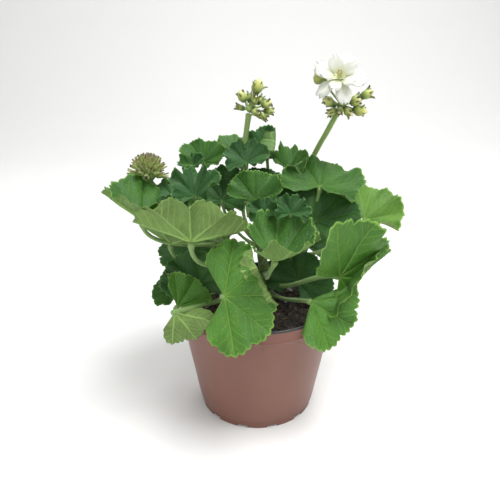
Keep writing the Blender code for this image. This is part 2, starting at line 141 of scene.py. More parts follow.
def wire(tree, kind, inputs=None, **settings):
    # adds a node; inputs are values or sockets to link, by name or place
    node = tree.nodes.new(kind)
    for key, value in settings.items():
        setattr(node, key, value)
    for key, value in (inputs or {}).items():
        if isinstance(value, bpy.types.NodeSocket):
            tree.links.new(value, node.inputs[key])
        else:
            node.inputs[key].default_value = value
    return node


def maths(tree, operation, a, b=0.0, c=0.0, clamp=False):
    node = tree.nodes.new("ShaderNodeMath")
    node.operation = operation
    node.use_clamp = clamp
    for place, value in enumerate((a, b, c)):
        if isinstance(value, bpy.types.NodeSocket):
            tree.links.new(value, node.inputs[place])
        else:
            node.inputs[place].default_value = value
    return node.outputs[0]


def step(tree, value, low, high):
    # 0 below low, 1 above high, smooth between
    node = wire(tree, "ShaderNodeMapRange", {"Value": value, "From Min": low, "From Max": high},
        interpolation_type="SMOOTHSTEP")
    return node.outputs["Result"]


def blend(tree, share, a, b, kind="MIX"):
    node = tree.nodes.new("ShaderNodeMix")
    node.data_type = "RGBA"
    node.blend_type = kind
    for place, value in ((0, share), (6, a), (7, b)):
        if isinstance(value, bpy.types.NodeSocket):
            tree.links.new(value, node.inputs[place])
        else:
            node.inputs[place].default_value = value if place == 0 else (*value, 1)
    return node.outputs[2]


def newGroup(name, inputs, outputs):
    # an effect shared by several materials
    tree = bpy.data.node_groups.new(name, "ShaderNodeTree")
    for label, kind, value in inputs:
        socket = tree.interface.new_socket(label, in_out="INPUT", socket_type=kind)
        if value is not None:
            socket.default_value = value
    for label, kind in outputs:
        tree.interface.new_socket(label, in_out="OUTPUT", socket_type=kind)
    return tree, tree.nodes.new("NodeGroupInput"), tree.nodes.new("NodeGroupOutput")


def place(tree, group, inputs):
    node = wire(tree, "ShaderNodeGroup", node_tree=group)
    for key, value in inputs.items():
        if isinstance(value, bpy.types.NodeSocket):
            tree.links.new(value, node.inputs[key])
        else:
            node.inputs[key].default_value = value
    return node


def newMaterial(name, roughness, **settings):
    material = bpy.data.materials.new(name)
    material.use_nodes = True
    shader = material.node_tree.nodes["Principled BSDF"]
    shader.inputs["Roughness"].default_value = roughness
    for key, value in settings.items():
        shader.inputs[key].default_value = value
    return material, material.node_tree, shader


def glow(material, colour, share):
    # lets light through a thin blade or petal
    tree = material.node_tree
    shader = tree.nodes["Principled BSDF"]
    through = tree.nodes.new("ShaderNodeBsdfTranslucent")
    if isinstance(colour, bpy.types.NodeSocket):
        tree.links.new(colour, through.inputs["Color"])
    else:
        through.inputs["Color"].default_value = (*colour, 1)
    mix = wire(tree, "ShaderNodeMixShader", {0: share})
    tree.links.new(shader.outputs[0], mix.inputs[1])
    tree.links.new(through.outputs[0], mix.inputs[2])
    tree.links.new(mix.outputs[0], tree.nodes["Material Output"].inputs["Surface"])


veinPlan = {"gap": 1 / 9, "fan": 0.7, "sideVeins": 6.5}


def makeVeinGroup():
    # masks over a blade whose UV turns round the hub in U and runs from hub to rim in V
    tree, inside, outside = newGroup(
        "leafVeins",
        [("UV", "NodeSocketVector", None), ("Point", "NodeSocketVector", None),
            ("Width", "NodeSocketFloat", 1.0)],
        [(name, "NodeSocketFloat") for name in ("Main", "Side", "Net", "Rim", "Puff", "Mottle")],
    )
    split = wire(tree, "ShaderNodeSeparateXYZ", {0: inside.outputs["UV"]})
    across, out = split.outputs[0], split.outputs[1]
    waver = wire(tree, "ShaderNodeTexNoise", {"Vector": inside.outputs["Point"], "Scale": 90.0,
        "Detail": 2.0})
    shift = maths(tree, "SUBTRACT", waver.outputs[0], 0.5)
    turn = maths(tree, "DIVIDE", maths(tree, "SUBTRACT", across, 0.5), veinPlan["gap"])
    turn = maths(tree, "MULTIPLY_ADD", shift, 0.12, turn)
    near = maths(tree, "SUBTRACT", turn, maths(tree, "ROUND", turn))
    away = maths(tree, "ABSOLUTE", near)
    distance = maths(tree, "MULTIPLY", maths(tree, "MULTIPLY", away, veinPlan["fan"]), out)
    thick = maths(tree, "MULTIPLY", maths(tree, "MULTIPLY_ADD", out, -0.017, 0.024), inside.outputs["Width"])
    main = maths(tree, "SUBTRACT", 1.0, step(tree, maths(tree, "DIVIDE", distance, thick), 0.25, 1.3))
    # side veins run forward from each main vein
    climb = maths(tree, "MULTIPLY", out, maths(tree, "MULTIPLY_ADD", away, -0.9, 1.0))
    climb = maths(tree, "MULTIPLY_ADD", shift, 0.05, climb)
    stagger = maths(tree, "MULTIPLY", maths(tree, "SIGN", near), 0.22)
    climb = maths(tree, "MULTIPLY_ADD", climb, veinPlan["sideVeins"], stagger)
    line = maths(tree, "ABSOLUTE", maths(tree, "SUBTRACT", maths(tree, "FRACT", climb), 0.5))
    side = maths(tree, "SUBTRACT", 1.0, step(tree, maths(tree, "DIVIDE", line, inside.outputs["Width"]),
        0.02, 0.11))
    side = maths(tree, "MULTIPLY", side, step(tree, out, 0.15, 0.45))
    side = maths(tree, "MULTIPLY", side, maths(tree, "SUBTRACT", 1.0, step(tree, away, 0.3, 0.5)))
    cells = wire(tree, "ShaderNodeTexVoronoi", {"Vector": inside.outputs["Point"], "Scale": 430.0},
        feature="DISTANCE_TO_EDGE")
    net = maths(tree, "SUBTRACT", 1.0, step(tree, cells.outputs["Distance"], 0.0, 0.16))
    rim = step(tree, out, 0.955, 0.99)
    puff = maths(tree, "MULTIPLY", step(tree, cells.outputs["Distance"], 0.0, 0.4),
        step(tree, away, 0.0, 0.25))
    mottle = wire(tree, "ShaderNodeTexNoise", {"Vector": inside.outputs["Point"], "Scale": 45.0,
        "Detail": 4.0, "Roughness": 0.6})
    for label, value in (("Main", main), ("Side", side), ("Net", net), ("Rim", rim), ("Puff", puff),
            ("Mottle", mottle.outputs[0])):
        tree.links.new(value, outside.inputs[label])
    return tree


veinGroup = makeVeinGroup()

leafTones = {
    # upper face, its shaded patches, veins, underside: red, green, blue
    # deep is a darker copy of the leaf finish: painted shade for leaves that sit in shade inside the plant
    "deepPaintedShade": {"face": (0.040, 0.127, 0.024), "shade": (0.020, 0.076, 0.016), "vein": (0.093, 0.220, 0.046),
        "under": (0.144, 0.267, 0.073)},
    "blue": {"face": (0.053, 0.152, 0.043), "shade": (0.028, 0.091, 0.029), "vein": (0.124, 0.264, 0.073),
        "under": (0.160, 0.285, 0.087)},
    "mid": {"face": (0.062, 0.183, 0.025), "shade": (0.032, 0.110, 0.017), "vein": (0.148, 0.299, 0.052),
        "under": (0.186, 0.314, 0.080)},
    "bright": {"face": (0.090, 0.243, 0.029), "shade": (0.053, 0.167, 0.022),
        "vein": (0.210, 0.378, 0.067), "under": (0.228, 0.362, 0.100)},
    # sunny is a lighter copy of the leaf finish: painted light for a leaf in full light
    "sunnyPaintedLight": {"face": (0.135, 0.283, 0.039), "shade": (0.081, 0.202, 0.026), "vein": (0.241, 0.395, 0.080),
        "under": (0.253, 0.399, 0.100)},
}


def shadeOf(colour, amount):
    return tuple(channel * amount for channel in colour)


def leafMaterials(name, tone):
    # upper face, underside and rim for one tone of leaf
    made = []
    for part in ("Face", "Under", "Edge"):
        top = part == "Face"
        material, tree, shader = newMaterial("leaf" + part + name.title(), 0.5 if top else 0.7)
        uv = wire(tree, "ShaderNodeUVMap", uv_map="blade")
        point = wire(tree, "ShaderNodeTexCoord")
        masks = place(tree, veinGroup, {"UV": uv.outputs[0], "Point": point.outputs["Object"],
            "Width": 1.0 if top else 1.35})
        get = masks.outputs
        if part == "Edge":
            colour = blend(tree, get["Mottle"], tone["vein"], tone["under"])
        elif top:
            colour = blend(tree, step(tree, get["Mottle"], 0.3, 0.7), tone["shade"], tone["face"])
            colour = blend(tree, maths(tree, "MULTIPLY", get["Puff"], 0.35), colour,
                shadeOf(tone["face"], 1.35))
            colour = blend(tree, maths(tree, "MULTIPLY", get["Net"], 0.2), colour, tone["shade"])
            colour = blend(tree, maths(tree, "MULTIPLY", get["Side"], 0.5), colour, tone["vein"])
            colour = blend(tree, maths(tree, "MULTIPLY", get["Main"], 0.75), colour, tone["vein"])
            colour = blend(tree, maths(tree, "MULTIPLY", get["Rim"], 0.75), colour,
                shadeOf(tone["vein"], 1.25))
        else:
            # the underside is darkened in random patches as painted shade
            colour = blend(tree, step(tree, get["Mottle"], 0.3, 0.7), shadeOf(tone["under"], 0.6),
                tone["under"])
            colour = blend(tree, maths(tree, "MULTIPLY", get["Net"], 0.25), colour,
                shadeOf(tone["under"], 1.3))
            colour = blend(tree, maths(tree, "MULTIPLY", get["Side"], 0.5), colour,
                shadeOf(tone["under"], 1.45))
            colour = blend(tree, maths(tree, "MULTIPLY", get["Main"], 0.85), colour,
                shadeOf(tone["under"], 1.7))
        tree.links.new(colour, shader.inputs["Base Color"])
        if part != "Edge":
            # veins sink into the upper face and stand out below
            veins = maths(tree, "MULTIPLY_ADD", get["Side"], 0.5, get["Main"])
            veins = maths(tree, "MULTIPLY_ADD", get["Net"], 0.25, veins)
            puff = maths(tree, "MULTIPLY", get["Puff"], 0.5 if top else -0.4)
            height = maths(tree, "MULTIPLY_ADD", veins, -1.0 if top else 1.0, puff)
            bump = wire(tree, "ShaderNodeBump", {"Height": height, "Strength": 0.55, "Distance": 0.0005})
            tree.links.new(bump.outputs[0], shader.inputs["Normal"])
            rough = maths(tree, "MULTIPLY_ADD", get["Mottle"], 0.2, 0.42 if top else 0.6)
            tree.links.new(rough, shader.inputs["Roughness"])
        shader.inputs["Sheen Weight"].default_value = 0.06
        shader.inputs["Sheen Roughness"].default_value = 0.4
        shader.inputs["Sheen Tint"].default_value = (0.75, 0.9, 0.65, 1)
        shader.inputs["Specular IOR Level"].default_value = 0.35
        glow(material, blend(tree, 0.6, colour, (0.25, 0.48, 0.04)), 0.25)
        made.append(material)
    return made


def makeStemMaterial(name, low, high, roughness):
    material, tree, shader = newMaterial(name, roughness)
    point = wire(tree, "ShaderNodeTexCoord")
    streak = wire(tree, "ShaderNodeMapping", {"Vector": point.outputs["Object"], "Scale": (1.0, 1.0, 0.12)})
    grain = wire(tree, "ShaderNodeTexNoise", {"Vector": streak.outputs[0], "Scale": 900.0, "Detail": 3.0})
    patch = wire(tree, "ShaderNodeTexNoise", {"Vector": point.outputs["Object"], "Scale": 60.0,
        "Detail": 2.0})
    share = maths(tree, "MULTIPLY_ADD", grain.outputs[0], 0.6,
        maths(tree, "MULTIPLY", patch.outputs[0], 0.5), clamp=True)
    tree.links.new(blend(tree, share, low, high), shader.inputs["Base Color"])
    bump = wire(tree, "ShaderNodeBump", {"Height": grain.outputs[0], "Strength": 0.3, "Distance": 0.0003})
    tree.links.new(bump.outputs[0], shader.inputs["Normal"])
    shader.inputs["Sheen Weight"].default_value = 0.3
    shader.inputs["Sheen Tint"].default_value = (0.8, 0.95, 0.7, 1)
    shader.inputs["Subsurface Weight"].default_value = 0.12
    shader.inputs["Subsurface Scale"].default_value = 0.002
    return material


leafSkins = {name: leafMaterials(name, tone) for name, tone in leafTones.items()}
petioleGreen = makeStemMaterial("petioleGreen", (0.1, 0.19, 0.045), (0.22, 0.36, 0.1), 0.55)
stalkGreen = makeStemMaterial("stalkGreen", (0.16, 0.27, 0.06), (0.32, 0.45, 0.14), 0.5)
stemGreen = makeStemMaterial("stemGreen", (0.09, 0.14, 0.035), (0.2, 0.29, 0.08), 0.6)
print("leaf finishes ready")


def vec(x, y, z):
    return Vector((x, y, z)) * mm


# centre lines of the three shoots, in millimetres, with their radii at foot and tip
shoots = {
    "middle": {"line": [(9, 12, 68), (8, 12, 100), (4, 10, 130), (2, 12, 158)], "foot": 5.5, "tip": 3.6},
    "left": {"line": [(-3, 12, 105), (-12, 10, 115), (-22, 10, 132), (-30, 12, 158)], "foot": 4.2,
        "tip": 3.2},
    "right": {"line": [(18, 13, 105), (25, 16, 115), (32, 18, 130), (36, 20, 152)], "foot": 4.2, "tip": 3.2},
}


def shootAt(name, share):
    # point, direction and radius part of the way up a shoot
    line = [vec(*point) for point in shoots[name]["line"]]
    spot = share * (len(line) - 1)
    low = min(int(spot), len(line) - 2)
    radius = (shoots[name]["foot"] + (shoots[name]["tip"] - shoots[name]["foot"]) * share) * mm
    return line[low].lerp(line[low + 1], spot - low), (line[low + 1] - line[low]).normalized(), radius


def bladeTurn(face, lift, spin):
    f, l, s = math.radians(face), math.radians(lift), math.radians(spin)
    normal = Vector((math.cos(f) * math.cos(l), math.sin(f) * math.cos(l), math.sin(l)))
    uphill = Vector((-math.cos(f) * math.sin(l), -math.sin(f) * math.sin(l), math.cos(l)))
    midrib = uphill * math.cos(s) + uphill.cross(normal) * math.sin(s)
    return Matrix((midrib, normal.cross(midrib), normal)).transposed()


leafShape = {
    "spokes": 126, "rings": 22, "thickness": 0.5, "tipShare": 0.86, "notchRounding": 0.4,
    "lobes": 9, "lobeDepth": 0.11, "lobeSharpness": 0.5, "teethPerLobe": 5, "toothDepth": 0.05,
    "unevenness": 0.05, "lumpiness": 0.03, "rippleTurns": (9, 17), "foldRounding": 0.12,
    "petioleRadius": 1.9,
}


def leaf(hub, face, lift, spin, size, shoot, foot, tone="mid", cup=12, fold=0, spread=150, curl=0,
         wave=8, waves=4, phase=0, frill=None, crease=None, rise=0.5, pleat=0.13):
    # face and lift aim the upper side, spin turns the midrib; wave, frill and crease shape the blade
    plan = dict(hub=hub, face=face, lift=lift, spin=spin, size=size, shoot=shoot, foot=foot, tone=tone)
    plan.update(cup=cup, fold=fold, spread=spread, curl=curl, wave=wave, waves=waves, phase=phase)
    plan.update(crease=crease, rise=rise, pleat=pleat, frill=wave * 0.005 if frill is None else frill)
    return plan


def bladePoint(plan, angle, share, seed):
    shape = leafShape
    side = math.sin(angle) ** 2
    reach = shape["tipShare"] + (1 - shape["tipShare"]) * side
    reach *= 1 - shape["notchRounding"] * (abs(angle) / math.radians(plan["spread"])) ** 6
    half = shape["lobes"] / 2
    lobe = abs(math.cos(half * angle)) ** shape["lobeSharpness"]
    tooth = abs(math.cos(half * shape["teethPerLobe"] * angle))
    late = share**3
    uneven = shape["unevenness"] * noise.noise(Vector((angle * 1.3, seed, 0)))
    lobed = late * (shape["lobeDepth"] * (lobe - 0.75) + uneven)
    toothed = shape["toothDepth"] * (tooth - 0.5) * share**9
    reach *= 1 + lobed + toothed
    length = plan["size"] * mm * reach
    start = math.radians(plan["cup"] + plan["fold"] * side)
    bend = math.radians(plan["curl"] + plan["wave"] * math.sin(plan["waves"] * angle + plan["phase"])) or 1e-6
    out = length * (math.sin(start + bend * share) - math.sin(start)) / bend
    up = length * (math.cos(start) - math.cos(start + bend * share)) / bend
    size = plan["size"] * mm
    turn = angle * shape["lobes"] / math.tau
    away = abs(turn - round(turn))
    up += plan["pleat"] * size * math.sin(math.pi * away) ** 0.7 * share * (1 - 0.35 * share)
    slow, quick = shape["rippleTurns"]
    ripple = math.sin(slow * angle + plan["phase"] + seed) + 0.6 * math.sin(quick * angle + 2 * seed)
    up += plan["frill"] * size * share**4 * ripple
    spot = Vector((math.cos(angle), math.sin(angle), 0)) * share * 2.5 + Vector((0, 0, seed))
    up += shape["lumpiness"] * size * share * noise.noise(spot)
    point = Vector((out * math.cos(angle), out * math.sin(angle), up))
    if plan["crease"]:
        line, amount, begin = plan["crease"]
        line = math.radians(line)
        axis = Vector((math.cos(line), math.sin(line), 0))
        sideways = Vector((-axis.y, axis.x, 0)) * (1 if line > 0 else -1)
        past = point.dot(sideways) - begin * size
        if past > 0:
            eased = min(past / (shape["foldRounding"] * size), 1)
            turned = Matrix.Rotation(math.radians(amount) * (1 if line > 0 else -1) * eased, 3, axis)
            pivot = axis * point.dot(axis) + sideways * begin * size
            point = pivot + turned @ (point - pivot)
    return point


def bladeMesh(plan, seed):
    # two skins over one sheet of points, joined round the rim
    spokes, rings = leafShape["spokes"], leafShape["rings"]
    turn = bladeTurn(plan["face"], plan["lift"], plan["spin"])
    hub = vec(*plan["hub"])
    spread = math.radians(plan["spread"])
    shares = [(k / rings) ** 0.85 for k in range(rings + 1)]
    angles = [-spread + 2 * spread * i / spokes for i in range(spokes + 1)]
    sheet = [[bladePoint(plan, angle, share, seed) for share in shares] for angle in angles]
    body = bmesh.new()
    uv = body.loops.layers.uv.new("blade")
    where = {}
    skins = []
    for side in (1, -1):
        grid = []
        middle = body.verts.new(hub + turn @ Vector((0, 0, side * 0.5 * leafShape["thickness"] * mm)))
        where[middle] = (None, 0)
        for i in range(spokes + 1):
            row = [middle]
            for k in range(1, rings + 1):
                across = sheet[min(i + 1, spokes)][k] - sheet[max(i - 1, 0)][k]
                along = sheet[i][min(k + 1, rings)] - sheet[i][k - 1]
                normal = along.cross(across).normalized()
                if normal.z < 0 and abs(plan["crease"][1] if plan["crease"] else 0) < 60:
                    normal = -normal
                half = 0.5 * leafShape["thickness"] * mm * (1.15 - 0.6 * shares[k])
                vertex = body.verts.new(hub + turn @ (sheet[i][k] + normal * side * half))
                where[vertex] = (angles[i] / math.tau + 0.5, shares[k])
                row.append(vertex)
            grid.append(row)
        skins.append(grid)

    def put(corners, slot):
        face = body.faces.new(corners)
        face.material_index = slot
        known = [where[v][0] for v in corners if where[v][0] is not None]
        for loop in face.loops:
            u, v = where[loop.vert]
            loop[uv].uv = (sum(known) / len(known) if u is None else u, v)

    for slot, grid in enumerate(skins):
        for i in range(spokes):
            for k in range(rings):
                corners = [grid[i][k], grid[i][k + 1], grid[i + 1][k + 1], grid[i + 1][k]]
                corners = corners[:3] if k == 0 else corners
                put(corners if slot == 0 else corners[::-1], slot)
    top, low = skins
    for i in range(spokes):
        put([top[i][rings], low[i][rings], low[i + 1][rings], top[i + 1][rings]], 2)
    for i in (0, spokes):
        for k in range(rings):
            corners = [top[i][k], low[i][k], low[i][k + 1], top[i][k + 1]]
            put(corners if i == 0 else corners[::-1], 2)
    for face in body.faces:
        face.smooth = True
    mesh = bpy.data.meshes.new("blade")
    body.to_mesh(mesh)
    body.free()
    return mesh


def petioleLine(plan):
    target = vec(*plan["hub"])
    turn = bladeTurn(plan["face"], plan["lift"], plan["spin"])
    centre, along, radius = shootAt(plan["shoot"], plan["foot"])
    away = target - centre
    away = (away - along * away.dot(along)).normalized()
    heading = (away + along * plan["rise"]).normalized()
    start = centre + away * radius * 0.6
    arrive = (turn @ Vector((0.5, 0, 1))).normalized()
    reach = (target - start).length
    end = target - turn @ Vector((0, 0, 0.7 * mm))
    return bezier([start, start + heading * reach * 0.35, end - arrive * reach * 0.3, end], 24)


# leaves given the deep tone carry painted shade, and the sunny tone carries painted light
leaves = {
    # left side
    "leaf_left_outer": leaf((-86.6, -23, 170.5), 8, 66, -4, 40.5, "left", 0.76, "mid", cup=18, fold=16,
        spread=120, wave=8, pleat=0.14),
    "leaf_left_front": leaf((-47.5, -50, 164), 82, 60, -8, 41.5, "left", 0.5, "bright", cup=28,
        fold=-15, spread=155, wave=4, waves=9, frill=0.008, pleat=0.3),
    "leaf_left_under": leaf((-68, -12, 148), 50, 68, -30, 35, "left", 0.34, "mid", cup=18, spread=110,
        wave=5, rise=1),
    "leaf_left_fan": leaf((-44, 30, 203), 262, 52, 0, 22, "left", 0.97, "mid", cup=16, fold=14, wave=12,
        waves=5),
    "leaf_left_ruffled": leaf((-46, -22, 190), 265, 55, -20, 24, "left", 0.78, "blue", cup=30, fold=10,
        wave=24, waves=5, frill=0.11),
    "leaf_left_shaded": leaf((-46, -24, 118), 262, 40, -10, 32, "left", 0.24, "deepPaintedShade", cup=8,
        spread=120),
    "leaf_left_behind_bud": leaf((-66, 9, 180), 270, 60, -10, 18, "left", 0.9, "blue", cup=20, wave=15,
        waves=5),
    "leaf_left_frilly": leaf((-62, -32, 182), 270, 70, 0, 13, "left", 0.86, "blue", cup=30, wave=22,
        waves=5, frill=0.12),
    # middle and top
    "leaf_inner_shaded": leaf((-28, 6, 178), 265, 50, 0, 22, "middle", 0.76, "deepPaintedShade", wave=14,
        frill=0.06),
    "leaf_top_back": leaf((-20, 48, 208), 250, 80, 60, 23, "middle", 0.99, "mid", cup=16, wave=12),
    "leaf_top_centre": leaf((-9, 14, 207), 268, 50, -10, 20, "middle", 0.84, "blue", cup=22, wave=18,
        waves=5, frill=0.1),
    "leaf_top_tall": leaf((8, 42, 205), 262, 20, -6, 29, "middle", 0.92, "blue", cup=12, fold=56,
        spread=112, wave=8, frill=0.07, crease=(-2, 110, 0.3)),
    "leaf_top_right": leaf((27, 32, 196), 255, 70, 50, 22, "right", 0.97, "mid", cup=28, fold=8,
        wave=18, waves=5, frill=0.1),
    "leaf_middle": leaf((-1.5, -16, 185), 265, 42, -4, 25, "middle", 0.68, "mid", spread=95, wave=16,
        frill=0.05, cup=20),
    "leaf_middle_dark": leaf((12, 4, 184), 270, 62, 60, 15, "middle", 0.92, "deepPaintedShade", cup=14, wave=14),
    "leaf_young_left": leaf((4, -23, 176), 262, 44, -10, 14, "middle", 0.6, "blue", cup=30, wave=26,
        waves=5, frill=0.12),
    "leaf_young_right": leaf((24, -32, 180), 270, 44, 10, 15, "middle", 0.97, "blue", cup=30, wave=26,
        waves=5, frill=0.12),
    "leaf_front_ruffled": leaf((12, -54, 152), 262, 86, 78, 40, "middle", 0.48, "mid", cup=20, fold=4,
        wave=8, waves=5, phase=4.2, curl=24, frill=0.06, pleat=0.14),
    # right side
    "leaf_right_big": leaf((48, 0, 191), 262, 72, 10, 34, "right", 0.86, "mid", cup=8, wave=12),
    "leaf_right_lower": leaf((43, -10, 166), 264, 50, 4, 36, "right", 0.72, "deepPaintedShade", cup=14),
    # this leaf takes the lighter sunny copy as painted light
    "leaf_right_back": leaf((90, 24, 156), 245, 72, 75, 37, "right", 0.58, "sunnyPaintedLight", fold=6, wave=14,
        frill=0.06),
    "leaf_right_front": leaf((60.5, -39, 132.5), 305, -8, 62, 52, "middle", 0.36, "bright", cup=8,
        fold=-4, spread=130, crease=(-343, 125, 0.36), rise=0, pleat=0.11),
    "leaf_right_hanging": leaf((40, -44, 114), 282, 30, 126, 40, "middle", 0.3, "bright", cup=4,
        spread=80, wave=6, crease=(44, -95, 0), rise=-0.1),
    "leaf_right_shaded": leaf((34, 4, 108), 262, 40, 20, 30, "right", 0.2, "deepPaintedShade", cup=8, wave=10),
    # front
    "leaf_front_hanging": leaf((-24, -66, 130), 268, 33, 88, 43.5, "middle", 0.42, "bright", cup=2,
        fold=-6, spread=120, wave=10, pleat=0.11, crease=(296, 155, 0.68)),
    "leaf_left_low": leaf((-61, -42, 109), 300, 34, 45, 29, "middle", 0.37, "bright", cup=14, fold=10,
        spread=66, wave=6, rise=0.2, pleat=0.14),
    "leaf_left_hanging": leaf((-61, -56, 112), 88, -5, -148, 32, "middle", 0.31, "bright", cup=8,
        spread=64, wave=6, rise=0.1),
    "leaf_left_small": leaf((-70, -14, 108), 255, 50, -75, 16, "left", 0.06, "mid"),
    # back
    "leaf_left_sliver": leaf((-67, -18, 114), 0, 35, 0, 18, "left", 0.14, "bright", cup=10, fold=20,
        spread=75),
    "leaf_inner_left": leaf((-26, 24, 184), 262, 45, -10, 20, "middle", 0.8, "deepPaintedShade", cup=20, wave=18,
        frill=0.08),
    "leaf_inner_centre": leaf((3, 26, 180), 265, 40, 0, 22, "middle", 0.85, "deepPaintedShade", cup=18, wave=16,
        frill=0.08),
    "leaf_inner_right": leaf((26, 8, 176), 270, 45, 10, 20, "right", 0.8, "deepPaintedShade", cup=20, wave=18,
        frill=0.08),
    "leaf_top_left_curl": leaf((-52, 24, 200), 262, 50, -35, 13, "left", 0.95, "blue", cup=34, wave=24,
        waves=5, frill=0.1),
    "leaf_back_left": leaf((-60, 46, 162), 262, 64, 0, 34, "left", 0.7, "mid", cup=14, wave=10),
    "leaf_back_middle": leaf((-13, 65, 158), 268, 64, 0, 34, "middle", 0.7, "mid", cup=16, wave=10),
    "leaf_back_right": leaf((37, 52, 142), 275, 62, 0, 28, "right", 0.64, "mid", cup=14, wave=10),
    "leaf_back_low_left": leaf((-57, 40, 117), 262, 50, 0, 32, "left", 0.22, "deepPaintedShade", cup=4, fold=-4),
    "leaf_back_low_right": leaf((46, 52, 121), 275, 55, 0, 32, "right", 0.5, "deepPaintedShade", cup=4, fold=-4),
}

petioles = []
for number, (name, plan) in enumerate(leaves.items()):
    seed = 3.7 * number
    line = petioleLine(plan)
    radius = leafShape["petioleRadius"] * mm * (0.55 + 0.45 * plan["size"] / 36)
    radii = [radius * (1.5 - 0.7 * min(i / 6, 1) + (0.35 if i > 22 else 0)) for i in range(len(line))]
    rod = rodMesh(line, radii, 12, 0.06, seed)
    petioles.append(rod)
    mesh = joinMeshes(name, [(bladeMesh(plan, seed), None), (rod, 3)])
    piece = addPiece(name.replace("leaf_", "leafPiece_"), mesh, [*leafSkins[plan["tone"]], petioleGreen])
    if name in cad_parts:
        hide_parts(name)
    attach(piece, "root")
print("leaves made:", len(leaves))


def scaleMesh(base, along, outward, length, width, curl, thickness=0.25, cup=0.25, pinch=0.6):
    # a small pointed scale: sepal, bract or stipule; V runs from foot to tip
    side = along.cross(outward).normalized()
    outward = side.cross(along).normalized()
    body = bmesh.new()
    uv = body.loops.layers.uv.new("rod")
    steps, half = 7, 2
    grids = []
    place = {}
    for skin in (1, -1):
        grid = []
        for i in range(steps + 1):
            share = i / steps
            turned = curl * share
            ahead = (along * math.cos(turned) + outward * math.sin(turned)) * length * share
            wide = width * 0.5 * (0.35 + 0.65 * math.sin(math.pi * min(share**pinch * 0.95 + 0.05, 1))) * (
                1 - share**2.6)
            row = []
            for k in range(-half, half + 1):
                across = k / half
                lift = -cup * width * across * across
                point = base + ahead + side * wide * across + outward * (
                    lift + skin * 0.5 * thickness * mm * (1.2 - share))
                vertex = body.verts.new(point)
                place[vertex] = (0.5 + 0.5 * across, share)
                row.append(vertex)
            grid.append(row)
        grids.append(grid)

    def put(corners):
        face = body.faces.new(corners)
        for loop in face.loops:
            loop[uv].uv = place[loop.vert]

    for skin, grid in enumerate(grids):
        for i in range(steps):
            for k in range(2 * half):
                corners = [grid[i][k], grid[i][k + 1], grid[i + 1][k + 1], grid[i + 1][k]]
                put(corners if skin == 0 else corners[::-1])
    top, low = grids
    for i in range(steps):
        put([top[i][0], top[i + 1][0], low[i + 1][0], low[i][0]])
        put([top[i + 1][-1], top[i][-1], low[i][-1], low[i + 1][-1]])
    for k in range(2 * half):
        put([top[0][k + 1], top[0][k], low[0][k], low[0][k + 1]])
        put([top[steps][k], top[steps][k + 1], low[steps][k + 1], low[steps][k]])
    bmesh.ops.recalc_face_normals(body, faces=body.faces)
    for face in body.faces:
        face.smooth = True
    mesh = bpy.data.meshes.new("scale")
    body.to_mesh(mesh)
    body.free()
    return mesh


def podMesh(base, along, length, radius, blunt=0.8, ribs=0.08, sides=14, rings=9):
    # a plump closed bud body; V runs from foot to tip
    side = along.orthogonal().normalized()
    up = along.cross(side)
    body = bmesh.new()
    uv = body.loops.layers.uv.new("rod")
    foot = body.verts.new(base)
    tip = body.verts.new(base + along * length)
    place = {foot: (0.5, 0), tip: (0.5, 1)}
    grid = []
    for i in range(1, rings):
        share = i / rings
        wide = radius * math.sin(math.pi * share**blunt) ** 0.75
        row = []
        for k in range(sides):
            turn = math.tau * k / sides
            reach = wide * (1 + ribs * math.cos(5 * turn))
            vertex = body.verts.new(base + along * length * share
                + (side * math.cos(turn) + up * math.sin(turn)) * reach)
            place[vertex] = (k / sides, share)
            row.append(vertex)
        grid.append(row)
    for k in range(sides):
        after = (k + 1) % sides
        body.faces.new((foot, grid[0][after], grid[0][k]))
        body.faces.new((tip, grid[-1][k], grid[-1][after]))
        for i in range(rings - 2):
            body.faces.new((grid[i][k], grid[i][after], grid[i + 1][after], grid[i + 1][k]))
    for face in body.faces:
        face.smooth = True
        for loop in face.loops:
            loop[uv].uv = place[loop.vert]
    bmesh.ops.recalc_face_normals(body, faces=body.faces)
    mesh = bpy.data.meshes.new("pod")
    body.to_mesh(mesh)
    body.free()
    return mesh


def makeTipMaterial(name, foot, middle, tip, tipStart, roughness, spots=0.0):
    # colour runs from foot to tip along V
    material, tree, shader = newMaterial(name, roughness)
    uv = wire(tree, "ShaderNodeUVMap", uv_map="rod")
    along = wire(tree, "ShaderNodeSeparateXYZ", {0: uv.outputs[0]}).outputs[1]
    point = wire(tree, "ShaderNodeTexCoord")
    grain = wire(tree, "ShaderNodeTexNoise", {"Vector": point.outputs["Object"], "Scale": 700.0,
        "Detail": 3.0})
    patch = wire(tree, "ShaderNodeTexNoise", {"Vector": point.outputs["Object"], "Scale": 160.0,
        "Detail": 2.0})
    wander = maths(tree, "MULTIPLY_ADD", maths(tree, "SUBTRACT", patch.outputs[0], 0.5), 0.5, along)
    colour = blend(tree, step(tree, wander, 0.1, 0.6), foot, middle)
    colour = blend(tree, step(tree, wander, tipStart, 1.0), colour, tip)
    colour = blend(tree, maths(tree, "MULTIPLY", step(tree, patch.outputs[0], 0.55, 0.75), spots), colour,
        tip)
    colour = blend(tree, maths(tree, "MULTIPLY", grain.outputs[0], 0.3), colour, shadeOf(foot, 0.6))
    tree.links.new(colour, shader.inputs["Base Color"])
    bump = wire(tree, "ShaderNodeBump", {"Height": grain.outputs[0], "Strength": 0.35, "Distance": 0.0003})
    tree.links.new(bump.outputs[0], shader.inputs["Normal"])
    shader.inputs["Sheen Weight"].default_value = 0.25
    shader.inputs["Subsurface Weight"].default_value = 0.15
    shader.inputs["Subsurface Scale"].default_value = 0.002
    return material


